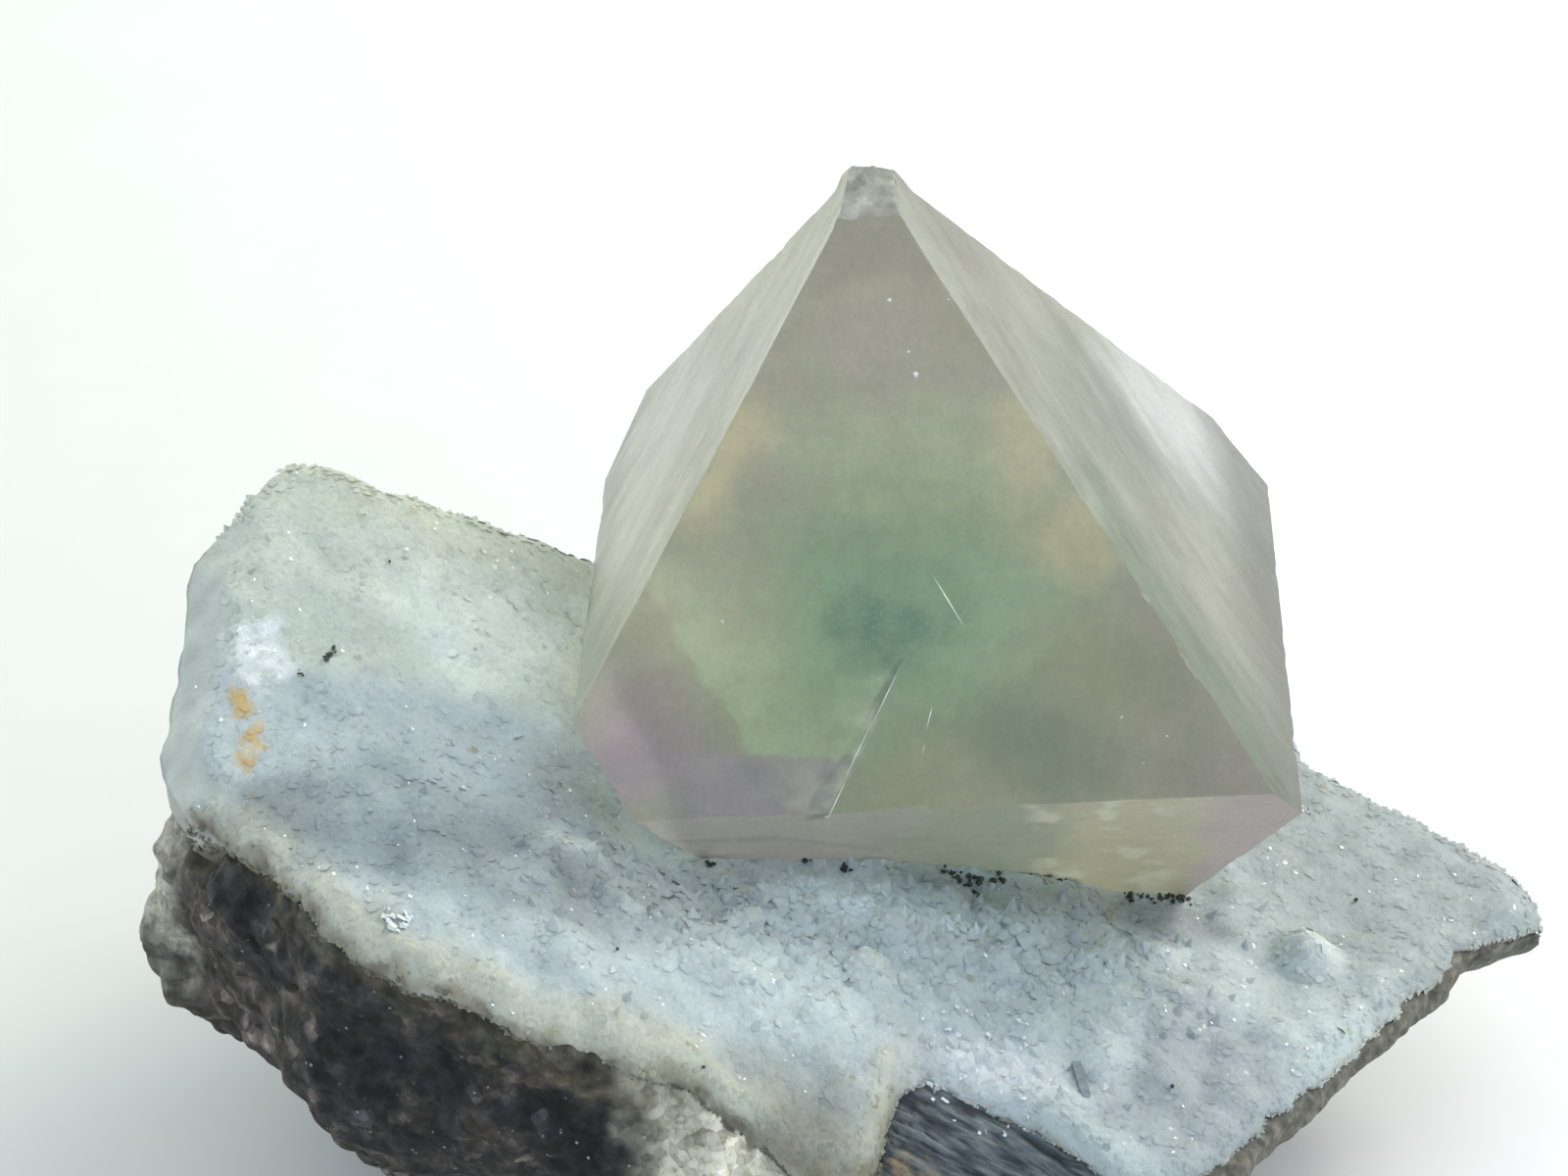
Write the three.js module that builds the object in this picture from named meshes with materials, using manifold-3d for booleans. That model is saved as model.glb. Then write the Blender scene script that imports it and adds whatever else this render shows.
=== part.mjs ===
// Fluorite specimen: one frosted octahedral crystal of fluorite, grown on a sugary quartz crust that coats a
// broken fragment of dark gneiss and schist. Millimetres, +Z up, the flat underside of the rock at z = 0.
import * as THREE from "three";
import { mergeVertices } from "three/addons/utils/BufferGeometryUtils.js";
import Module from "manifold-3d";

// ---- driving dimensions -------------------------------------------------------------------------------------

const GAP = 0.3; // growth contact left open between two pieces
const FLOOR_Z = -20; // underside of the rock, in the specimen axes used by the tables below
const SPECIMEN_SHIFT = [-3.51, 5.9, 20]; // moves the middle of the underside to the origin

// Crystal: an octahedron of about 30 mm edge. Three half-axes (front right corner, front left corner, apex) and
// the distance of each of its eight faces from the centre, since no natural octahedron is quite regular.
const CRYSTAL_CENTRE = [6.18, -0.58, -0.82];
const CRYSTAL_AXES = [
  [0.6819, -0.7199, 0.1292],
  [-0.728, -0.6852, 0.0243],
  [-0.0711, 0.1107, 0.9913],
];
const CRYSTAL_FACES = [
  { signs: [1, 1, 1], distance: 11.49 }, // front upper
  { signs: [1, -1, 1], distance: 10.01 }, // right upper
  { signs: [-1, 1, 1], distance: 12.7 }, // left upper
  { signs: [-1, -1, 1], distance: 11.53 }, // back upper
  { signs: [1, 1, -1], distance: 11.95 }, // front lower
  { signs: [1, -1, -1], distance: 12.23 }, // right lower
  { signs: [-1, 1, -1], distance: 9.56 }, // left lower
  { signs: [-1, -1, -1], distance: 12.25 }, // back lower
];
// Broken or blunted places: normal and offset from the specimen origin.
const CRYSTAL_CUTS = [
  { normal: [-0.138, -0.246, 0.959], offset: 15.87 }, // chipped apex
  { normal: [0.6, 0.745, 0.291], offset: 20.23 }, // blunt back right corner
  { normal: [-0.79, 0.559, -0.253], offset: 10.1 }, // blunt back left corner
  { normal: [-0.2607, 0, -0.9654], offset: 4.325 }, // foot, 1.5 mm down in the crust
];

// Crust: heights of its upper surface (x, y, z). A smooth sheet is passed through them.
const CRUST_HEIGHTS = [
  [-5.5, -13.7, -2.4], [-3, -12.7, -3.6], [1.9, -13, -3.5], [6, -12.4, -4.4], [11.3, -11.3, -6], [15.8, -10.3, -7.6],
  [30.3, -7.3, -10.8], [21.4, 0.4, -8.9], [25.9, -1.4, -10.2], [22.5, -16.4, -9.6], [17, -23.6, -9.2], [23.3, -6.9, -9.4],
  [5.2, -21.2, -6.6], [11.2, -24.3, -8.3], [1.8, -25.9, -7.6], [-2.1, -24.9, -5.6], [-4.2, -24.2, -4.3], [-8.7, -24.2, -2.6],
  [-12.1, -23.5, -1.1], [-15.5, -22.2, -0.3], [-18, -19.6, 0.4], [-22.1, -14.9, 1], [-22.8, -13.4, 1.6], [-3.6, -19.8, -2.9],
  [-10.9, -16, 0.1], [9.2, -17.3, -6.4], [-20.9, -10.1, 2.4], [-17, -9.3, 1.9], [-11.6, -8.9, 0.9], [-9, -7.7, 0.3],
  [-19.4, -0.6, 6.6], [-22.5, -4.7, 5.4], [-22.6, -7.7, 3.6], [-13.9, -0.9, 5], [-10.1, -0.2, 3.1], [-8.4, -1, 1.8],
  [-16.9, -5.3, 4.2], [-7.4, 4, -1.2], [-5, 9.5, -2.6], [2, 14.5, -4.4], [12, 14, -6.8], [19, 7.5, -8.6],
  [4, 0, -4], [12, 2, -6.2],
];
const CRUST_SMOOTHING = 4;
const CRUST_CENTRE = [0, -10];
const CRUST_MIDDLE_THICKNESS = 4.2;
const HUMMOCK_HEIGHT = 0.35;
const HUMMOCK_PITCH = 3.2;
// Rim of the crust, clockwise from its left front corner: x, y, crust thickness there, then the rock below it:
// how far down the face holds out before it runs in to the foot, its bulge, and the lip it keeps under the rim.
const RIM = [
  [-22.25, -15, 2.8, 2.4, 1, 0.05], [-22.79, -14.08, 3.2, 2.2, 0.9, 0.05], [-22.84, -13.39, 3.4, 2, 0.8, 0.05],
  [-23.23, -12.07, 3.4, 1.8, 0.4, 0.03], [-22.92, -10.29, 3.2, 1.6, 0.2, 0.02], [-22.76, -8.92, 3, 2.1, 0.5, 0],
  [-22.65, -7.69, 2.8, 2.1, 0.5, 0], [-22.48, -6.76, 2.6, 2.1, 0.5, 0], [-22.61, -5.74, 2.5, 2.1, 0.5, 0],
  [-22.49, -4.67, 2.4, 2.1, 0.5, 0], [-22.02, -3.77, 2.3, 2.1, 0.5, 0], [-21.31, -3.04, 2.2, 2.1, 0.5, 0],
  [-20.44, -2, 2.2, 2.1, 0.5, 0], [-19.43, -0.57, 2.2, 2.1, 0.5, 0], [-18.54, -0.37, 2.2, 2.1, 0.5, 0],
  [-17.51, -0.51, 2.2, 2.1, 0.5, 0], [-16.4, -0.86, 2.2, 2.1, 0.5, 0], [-15.23, -0.8, 2.2, 2.1, 0.5, 0],
  [-13.88, -0.72, 2.2, 2.1, 0.6, 0], [-12.46, -0.54, 2.3, 2.1, 0.7, 0], [-11.25, -0.55, 2.4, 2.1, 0.8, 0],
  [-10.06, -0.11, 2.4, 2.1, 0.9, 0], [-9.1, 0.1, 2.5, 2.1, 1, 0], [-8.5, 0.6, 2.5, 2.1, 1, 0],
  [-8, 1.7, 2.5, 2.1, 1, 0], [-7.2, 4, 2.6, 2.1, 0.9, 0], [-6, 7.2, 2.6, 2.1, 0.7, 0], [-4, 10.6, 2.6, 2.1, 0.5, 0],
  [-1, 13.2, 2.6, 2.1, 0.5, 0], [3, 15, 2.6, 2.1, 0.5, 0], [8, 15.6, 2.6, 2.1, 0.5, 0], [11, 15.1, 2.5, 2.1, 0.5, 0],
  [13.8, 13.8, 2.4, 2.1, 0.5, 0], [16, 12.2, 2.3, 2.1, 0.5, 0], [17.8, 10.2, 2.2, 2.1, 0.5, 0.02],
  [19.2, 7.4, 2, 2.1, 0, 0.04], [20.4, 4, 1.9, 2.1, 0, 0.06], [21.45, 0.41, 1.8, 1.5, 0, 0.08],
  [23.26, -0.27, 1.8, 1.5, 0, 0.1], [25.62, -1.44, 1.7, 0.95, 0, 0.1], [27.6, -2.9, 1.6, 0.9, 0, 0.12],
  [29.43, -4.4, 1.4, 0.85, 0, 0.12], [30.02, -5.8, 1.3, 0.85, 0, 0.13], [30.27, -7.24, 1.2, 0.85, 0, 0.13],
  [29.08, -8.59, 1.2, 0.85, 0, 0.14], [26.96, -10.05, 1.3, 0.85, 0.2, 0.14], [26.2, -11.74, 1.4, 0.85, 0.2, 0.15],
  [24.38, -13.69, 1.5, 0.85, 0.3, 0.16], [22.52, -16.42, 1.5, 0.85, 0.3, 0.18], [20.84, -18.81, 1.5, 0.9, 0.3, 0.2],
  [18.98, -21.08, 1.5, 0.95, 0.3, 0.22], [16.97, -23.58, 1.5, 1.1, 0.4, 0.22], [15.7, -24.52, 1.5, 1.3, 0.5, 0.2],
  [13.67, -25.11, 1.6, 1.6, 0.8, 0.15], [12.22, -25, 1.6, 1.9, 1.6, 0.1], [11.08, -24.01, 1.7, 2.1, 2.4, 0.08],
  [9.41, -23, 1.8, 2.2, 3.2, 0.06], [8.04, -22.44, 1.8, 2.2, 3.8, 0.05], [6.68, -21.84, 1.8, 2.2, 4.3, 0.05],
  [5.23, -21.24, 1.9, 2.2, 4.4, 0.05], [4.13, -22.26, 2.2, 2.2, 3.4, 0.05], [3.75, -23.55, 2.7, 2.2, 2.6, 0.05],
  [3.52, -24.54, 3, 2.2, 1.7, 0.05], [3.04, -25.5, 3.2, 2.1, 1.5, 0.05], [1.79, -25.86, 3.2, 2.1, 1.5, 0.05],
  [0.43, -25.95, 2.9, 2.1, 1.6, 0.05], [-0.71, -25.17, 2.5, 2.2, 1.7, 0.05], [-2.07, -24.95, 2.1, 2.3, 1.6, 0.05],
  [-2.89, -24.33, 1.9, 2.4, 1.4, 0.05], [-4.24, -24.22, 1.8, 2.4, 1.1, 0.05], [-5.79, -24.47, 1.8, 2.4, 0.9, 0.05],
  [-7.03, -24.18, 1.8, 2.4, 0.8, 0.05], [-8.68, -24.19, 1.8, 2.4, 0.8, 0.05], [-10.37, -23.99, 1.8, 2.4, 0.8, 0.05],
  [-12.07, -23.44, 1.8, 2.4, 0.8, 0.05], [-13.65, -23.2, 1.8, 2.4, 0.8, 0.05], [-15.51, -22.18, 1.8, 2.4, 0.8, 0.05],
  [-16.82, -21.13, 1.8, 2.4, 0.8, 0.05], [-17.95, -19.54, 1.8, 2.4, 0.9, 0.05],
  [-19.19, -17.91, 1.9, 2.4, 0.9, 0.05], [-20.42, -16.93, 2, 2.4, 1, 0.05],
];
const TOP_RINGS = [0.13, 0.27, 0.4, 0.53, 0.66, 0.78, 0.89, 0.97];
const BOTTOM_RINGS = [0.7, 0.35];
const BOTTOM_RIM = 0.985;

// Rock: corners of the flat foot it was broken off on, and the levels of its sides, from the rim to the foot.
const FOOT_CENTRE = [2.6, -5.4];
const FOOT_CORNERS = [
  [-13.8, -6.4], [-10.2, -14.6], [-1.5, -17.6], [9.5, -18.2], [16.6, -12.8], [18.6, -3.2], [12.4, 6.2], [3.2, 8.4], [-8.2, 4.8],
];
const ROCK_LEVELS = [0.1, 0.24, 0.4, 0.57, 0.74, 0.89, 1];
const ROCK_ROUGHNESS = 0.95;
const ROCK_PITCH = 4.5;

const COLOURS = { crystal: 0x8f9e86, crust: 0xb4c1bd, rock: 0x39383a };

// ---- helpers ------------------------------------------------------------------------------------------------

const dot = (a, b) => a[0] * b[0] + a[1] * b[1] + a[2] * b[2];
const sub = (a, b) => [a[0] - b[0], a[1] - b[1], a[2] - b[2]];
const cross = (a, b) => [
  a[1] * b[2] - a[2] * b[1],
  a[2] * b[0] - a[0] * b[2],
  a[0] * b[1] - a[1] * b[0],
];
const unit = (a) => {
  const n = Math.sqrt(dot(a, a));
  return [a[0] / n, a[1] / n, a[2] / n];
};
const clamp01 = (v) => Math.min(1, Math.max(0, v));
const smooth = (v) => {
  const t = clamp01(v);
  return t * t * (3 - 2 * t);
};

// Smooth noise between -1 and 1, the same at every run.
function hash(i, j, k) {
  const s = Math.sin(i * 127.1 + j * 311.7 + k * 74.7) * 43758.5453;
  return 2 * (s - Math.floor(s)) - 1;
}
function noise(x, y, z) {
  const i = Math.floor(x), j = Math.floor(y), k = Math.floor(z);
  const u = smooth(x - i), v = smooth(y - j), w = smooth(z - k);
  let sum = 0;
  for (let a = 0; a < 2; a++)
    for (let b = 0; b < 2; b++)
      for (let c = 0; c < 2; c++)
        sum += (a ? u : 1 - u) * (b ? v : 1 - v) * (c ? w : 1 - w) * hash(i + a, j + b, k + c);
  return sum;
}

// Solves a square linear system by elimination with row exchange.
function solve(rows, rhs) {
  const n = rhs.length;
  const m = rows.map((row, i) => [...row, rhs[i]]);
  for (let c = 0; c < n; c++) {
    let p = c;
    for (let r = c + 1; r < n; r++) if (Math.abs(m[r][c]) > Math.abs(m[p][c])) p = r;
    [m[c], m[p]] = [m[p], m[c]];
    for (let r = c + 1; r < n; r++) {
      const f = m[r][c] / m[c][c];
      if (f) for (let k = c; k <= n; k++) m[r][k] -= f * m[c][k];
    }
  }
  const x = new Array(n).fill(0);
  for (let r = n - 1; r >= 0; r--) {
    let s = m[r][n];
    for (let k = r + 1; k < n; k++) s -= m[r][k] * x[k];
    x[r] = s / m[r][r];
  }
  return x;
}

// Thin-plate sheet through a list of heights.
function sheet(points, smoothing) {
  const n = points.length;
  const kernel = (r2) => (r2 > 1e-12 ? 0.5 * r2 * Math.log(r2) : 0);
  const rows = [];
  for (let i = 0; i < n; i++) {
    const row = points.map((q) => kernel((q[0] - points[i][0]) ** 2 + (q[1] - points[i][1]) ** 2));
    row[i] += smoothing;
    rows.push([...row, 1, points[i][0], points[i][1]]);
  }
  rows.push([...points.map(() => 1), 0, 0, 0]);
  rows.push([...points.map((q) => q[0]), 0, 0, 0]);
  rows.push([...points.map((q) => q[1]), 0, 0, 0]);
  const w = solve(rows, [...points.map((q) => q[2]), 0, 0, 0]);
  return (x, y) => {
    let z = w[n] + w[n + 1] * x + w[n + 2] * y;
    for (let i = 0; i < n; i++) z += w[i] * kernel((points[i][0] - x) ** 2 + (points[i][1] - y) ** 2);
    return z;
  };
}

function geometryFrom(vertices, triangles) {
  const g = new THREE.BufferGeometry();
  g.setAttribute("position", new THREE.BufferAttribute(new Float32Array(vertices.flat()), 3));
  g.setIndex(triangles.flat());
  return g;
}

// Closed skin over a stack of closed rings of equal length, with a middle point at each end.
function skin(first, rings, last) {
  const vertices = [first], triangles = [];
  const n = rings[0].length;
  for (const ring of rings) vertices.push(...ring);
  vertices.push(last);
  const at = (r, i) => 1 + r * n + (i % n);
  const end = vertices.length - 1;
  for (let i = 0; i < n; i++) {
    triangles.push([0, at(0, i + 1), at(0, i)]);
    triangles.push([end, at(rings.length - 1, i), at(rings.length - 1, i + 1)]);
    for (let r = 0; r + 1 < rings.length; r++) {
      triangles.push([at(r, i), at(r, i + 1), at(r + 1, i)]);
      triangles.push([at(r, i + 1), at(r + 1, i + 1), at(r + 1, i)]);
    }
  }
  return geometryFrom(vertices, triangles);
}

// Convex body bounded by planes { normal, offset }.
function convexBody(planes) {
  const found = [];
  for (let a = 0; a < planes.length; a++)
    for (let b = a + 1; b < planes.length; b++)
      for (let c = b + 1; c < planes.length; c++) {
        const bc = cross(planes[b].normal, planes[c].normal);
        const det = dot(planes[a].normal, bc);
        if (Math.abs(det) < 1e-6) continue;
        const ca = cross(planes[c].normal, planes[a].normal), ab = cross(planes[a].normal, planes[b].normal);
        const p = [0, 1, 2].map(
          (i) => (planes[a].offset * bc[i] + planes[b].offset * ca[i] + planes[c].offset * ab[i]) / det,
        );
        if (planes.every((q) => dot(q.normal, p) <= q.offset + 1e-6)) found.push(p);
      }
  const corners = [];
  for (const p of found) if (!corners.some((q) => Math.hypot(...sub(p, q)) < 1e-3)) corners.push(p);
  const triangles = [];
  for (const plane of planes) {
    const on = corners.map((p, i) => [p, i]).filter(([p]) => Math.abs(dot(plane.normal, p) - plane.offset) < 2e-3);
    if (on.length < 3) continue;
    const mid = [0, 1, 2].map((k) => on.reduce((s, [p]) => s + p[k], 0) / on.length);
    const u = unit(sub(on[0][0], mid)), v = cross(plane.normal, u);
    on.sort(([p], [q]) => Math.atan2(dot(sub(p, mid), v), dot(sub(p, mid), u)) - Math.atan2(dot(sub(q, mid), v), dot(sub(q, mid), u)));
    for (let i = 1; i + 1 < on.length; i++) triangles.push([on[0][1], on[i][1], on[i + 1][1]]);
  }
  return geometryFrom(corners, triangles);
}

// ---- the crystal --------------------------------------------------------------------------------------------

function crystalPlanes(grow) {
  const planes = CRYSTAL_FACES.map(({ signs, distance }) => {
    const normal = unit([0, 1, 2].map((k) => signs.reduce((s, sign, a) => s + sign * CRYSTAL_AXES[a][k], 0)));
    return { normal, offset: distance + dot(normal, CRYSTAL_CENTRE) + grow };
  });
  for (const cut of CRYSTAL_CUTS) planes.push({ normal: unit(cut.normal), offset: cut.offset + grow });
  return planes;
}

// ---- the crust and the rock ---------------------------------------------------------------------------------

const smoothTop = sheet(CRUST_HEIGHTS, CRUST_SMOOTHING);
const crustTop = (x, y) =>
  smoothTop(x, y) + HUMMOCK_HEIGHT * noise(x / HUMMOCK_PITCH, y / HUMMOCK_PITCH, 1.5) +
  0.4 * HUMMOCK_HEIGHT * noise((2.3 * x) / HUMMOCK_PITCH, (2.3 * y) / HUMMOCK_PITCH, 7.5);

const along = (rim, t) => [
  CRUST_CENTRE[0] + (rim[0] - CRUST_CENTRE[0]) * t,
  CRUST_CENTRE[1] + (rim[1] - CRUST_CENTRE[1]) * t,
];
const thickness = (rim, t) => rim[2] + (CRUST_MIDDLE_THICKNESS - rim[2]) * smooth((1 - t) / 0.3);
const crustUnderside = (rim, t) => {
  const [x, y] = along(rim, t);
  return [x, y, smoothTop(x, y) - thickness(rim, t)];
};
const lowered = (p, dz) => [p[0], p[1], p[2] - dz];

function crustGeometry() {
  const rings = TOP_RINGS.map((t) =>
    RIM.map((rim) => {
      const [x, y] = along(rim, t);
      return [x, y, crustTop(x, y)];
    }),
  );
  rings.push(RIM.map((rim) => [rim[0], rim[1], smoothTop(rim[0], rim[1]) - 0.4 * rim[2]]));
  for (const t of [BOTTOM_RIM, ...BOTTOM_RINGS]) rings.push(RIM.map((rim) => crustUnderside(rim, t)));
  const [cx, cy] = CRUST_CENTRE;
  return skin([cx, cy, crustTop(cx, cy)], rings, [cx, cy, smoothTop(cx, cy) - CRUST_MIDDLE_THICKNESS]);
}

// Where the foot's outline lies in the direction of a rim point.
function footPoint(rim) {
  const dx = rim[0] - CRUST_CENTRE[0], dy = rim[1] - CRUST_CENTRE[1];
  for (let i = 0; i < FOOT_CORNERS.length; i++) {
    const a = FOOT_CORNERS[i], b = FOOT_CORNERS[(i + 1) % FOOT_CORNERS.length];
    const ex = b[0] - a[0], ey = b[1] - a[1];
    const ax = a[0] - FOOT_CENTRE[0], ay = a[1] - FOOT_CENTRE[1];
    const det = ex * dy - ey * dx;
    if (Math.abs(det) < 1e-9) continue;
    const reach = (ex * ay - ey * ax) / det, share = (dx * ay - dy * ax) / det;
    if (reach > 0 && share >= -1e-9 && share <= 1 + 1e-9) return [FOOT_CENTRE[0] + dx * reach, FOOT_CENTRE[1] + dy * reach];
  }
  return [...FOOT_CENTRE];
}

function rockGeometry() {
  const rings = [];
  for (const t of [...BOTTOM_RINGS].reverse()) rings.push(RIM.map((rim) => lowered(crustUnderside(rim, t), GAP)));
  const upper = RIM.map((rim) => lowered(crustUnderside(rim, BOTTOM_RIM), GAP));
  rings.push(upper);
  for (const level of ROCK_LEVELS)
    rings.push(
      RIM.map((rim, i) => {
        const [, , , hold, bulge, lip] = rim;
        const from = upper[i], foot = footPoint(rim);
        const run = Math.pow(clamp01((level - lip) / (1 - lip)), hold);
        const out = Math.atan2(rim[1] - CRUST_CENTRE[1], rim[0] - CRUST_CENTRE[0]);
        const z = from[2] + (FLOOR_Z - from[2]) * level;
        let x = from[0] + (foot[0] - from[0]) * run, y = from[1] + (foot[1] - from[1]) * run;
        const rough = ROCK_ROUGHNESS * smooth(level / 0.2) *
          (noise(x / ROCK_PITCH, y / ROCK_PITCH, z / ROCK_PITCH) + 0.5 * noise((2.1 * x) / ROCK_PITCH, (2.1 * y) / ROCK_PITCH, (2.1 * z) / ROCK_PITCH));
        const push = bulge * Math.sin(Math.PI * Math.pow(level, 0.65)) + (level < 1 ? rough : 0);
        x += Math.cos(out) * push;
        y += Math.sin(out) * push;
        return [x, y, z];
      }),
    );
  const [cx, cy] = CRUST_CENTRE;
  return skin([cx, cy, smoothTop(cx, cy) - CRUST_MIDDLE_THICKNESS - GAP], rings, [...FOOT_CENTRE, FLOOR_Z]);
}

// ---- cuts ---------------------------------------------------------------------------------------------------

const wasm = await Module();
wasm.setup();

function solidOf(geometry) {
  const merged = mergeVertices(geometry, 1e-4);
  return new wasm.Manifold(
    new wasm.Mesh({
      numProp: 3,
      vertProperties: new Float32Array(merged.attributes.position.array),
      triVerts: new Uint32Array(merged.index.array),
    }),
  );
}
function geometryOf(solid) {
  const mesh = solid.getMesh();
  const g = new THREE.BufferGeometry();
  g.setAttribute("position", new THREE.BufferAttribute(new Float32Array(mesh.vertProperties), 3));
  g.setIndex(new THREE.BufferAttribute(new Uint32Array(mesh.triVerts), 1));
  return g;
}

// The socket that the crystal's foot grew in.
const crust = geometryOf(solidOf(crustGeometry()).subtract(solidOf(convexBody(crystalPlanes(GAP)))));

// ---- the specimen -------------------------------------------------------------------------------------------

function piece(name, geometry, color, roughness, extra = {}) {
  geometry.computeVertexNormals();
  const mesh = new THREE.Mesh(
    geometry,
    new THREE.MeshStandardMaterial({ color, roughness, metalness: 0, flatShading: true, ...extra }),
  );
  mesh.name = name;
  return mesh;
}

const specimen = new THREE.Group();
specimen.name = "fluorite_specimen";
specimen.position.set(...SPECIMEN_SHIFT);
specimen.add(
  piece("fluorite_crystal", convexBody(crystalPlanes(0)), COLOURS.crystal, 0.3, { transparent: true, opacity: 0.6 }),
  piece("quartz_crust", crust, COLOURS.crust, 0.55),
  piece("matrix_rock", rockGeometry(), COLOURS.rock, 0.9),
);

export default specimen;
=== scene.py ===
"""Looks of the fluorite specimen: frosted octahedral fluorite on sugary quartz over dark gneiss and schist.

Lengths in the tables are millimetres in the specimen axes of the solid model; SHIFT moves them to the part frame.
"""

import math

import bpy
import numpy as np
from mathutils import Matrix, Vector
from mathutils.geometry import delaunay_2d_cdt


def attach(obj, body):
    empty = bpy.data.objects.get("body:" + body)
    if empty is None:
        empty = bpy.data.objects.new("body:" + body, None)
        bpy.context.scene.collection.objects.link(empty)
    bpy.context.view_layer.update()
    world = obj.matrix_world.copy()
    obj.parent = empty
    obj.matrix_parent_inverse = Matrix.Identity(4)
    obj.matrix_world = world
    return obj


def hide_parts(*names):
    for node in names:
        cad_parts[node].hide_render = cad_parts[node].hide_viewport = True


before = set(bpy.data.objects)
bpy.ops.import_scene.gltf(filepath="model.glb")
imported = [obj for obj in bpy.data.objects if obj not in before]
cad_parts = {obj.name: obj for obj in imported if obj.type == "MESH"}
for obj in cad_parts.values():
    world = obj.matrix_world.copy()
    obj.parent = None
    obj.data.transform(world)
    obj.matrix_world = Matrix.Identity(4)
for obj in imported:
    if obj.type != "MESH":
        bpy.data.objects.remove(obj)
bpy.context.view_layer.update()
SCENE = bpy.context.scene
RNG = np.random.default_rng(20417)

SHIFT = np.array([-3.51, 5.9, 20.0])
LIGHT_DIRECTION = np.array([0.70, 0.45, 0.55])
FLOOR_Z = -20.0

# ---- tables of the specimen's shape -------------------------------------------------------------------------

CRYSTAL_CENTRE = np.array([6.18, -0.58, -0.82])
CRYSTAL_AXES = np.array([[0.6819, -0.7199, 0.1292], [-0.728, -0.6852, 0.0243], [-0.0711, 0.1107, 0.9913]])
CRYSTAL_FACES = [
    ("F", (1, 1, 1), 11.49), ("R", (1, -1, 1), 10.01), ("L", (-1, 1, 1), 12.7), ("B", (-1, -1, 1), 11.83),
    ("f", (1, 1, -1), 11.95), ("r", (1, -1, -1), 12.23), ("l", (-1, 1, -1), 9.56), ("b", (-1, -1, -1), 12.25),
]
CRYSTAL_CUTS = [
    ("apex", (-0.0881, -0.2068, 0.9744), 16.293), ("chip", (0.258, 0.0236, 0.9659), 17.685), ("BR", (0.6, 0.745, 0.291), 20.23),
    ("BL", (-0.79, 0.559, -0.253), 10.1), ("foot", (-0.2607, 0, -0.9654), 4.325),
]

CRUST_HEIGHTS = np.array([
    [-5.5, -13.7, -2.4], [-3, -12.7, -3.6], [1.9, -13, -3.5], [6, -12.4, -4.4], [11.3, -11.3, -6], [15.8, -10.3, -7.6],
    [30.3, -7.3, -10.8], [21.4, 0.4, -8.9], [25.9, -1.4, -10.2], [22.5, -16.4, -9.6], [17, -23.6, -9.2], [23.3, -6.9, -9.4],
    [5.2, -21.2, -6.6], [11.2, -24.3, -8.3], [1.8, -25.9, -7.6], [-2.1, -24.9, -5.6], [-4.2, -24.2, -4.3], [-8.7, -24.2, -2.6],
    [-12.1, -23.5, -1.1], [-15.5, -22.2, -0.3], [-18, -19.6, 0.4], [-22.1, -14.9, 1], [-22.8, -13.4, 1.6], [-3.6, -19.8, -2.9],
    [-10.9, -16, 0.1], [9.2, -17.3, -6.4], [-20.9, -10.1, 2.4], [-17, -9.3, 1.9], [-11.6, -8.9, 0.9], [-9, -7.7, 0.3],
    [-19.4, -0.6, 6.6], [-22.5, -4.7, 5.4], [-22.6, -7.7, 3.6], [-13.9, -0.9, 5], [-10.1, -0.2, 3.1], [-8.4, -1, 1.8],
    [-16.9, -5.3, 4.2], [-7.4, 4, -1.2], [-5, 9.5, -2.6], [2, 14.5, -4.4], [12, 14, -6.8], [19, 7.5, -8.6],
    [4, 0, -4], [12, 2, -6.2],
])
CRUST_SMOOTHING = 4.0
CRUST_CENTRE = np.array([0.0, -10.0])
CRUST_MIDDLE = 4.2
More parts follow.
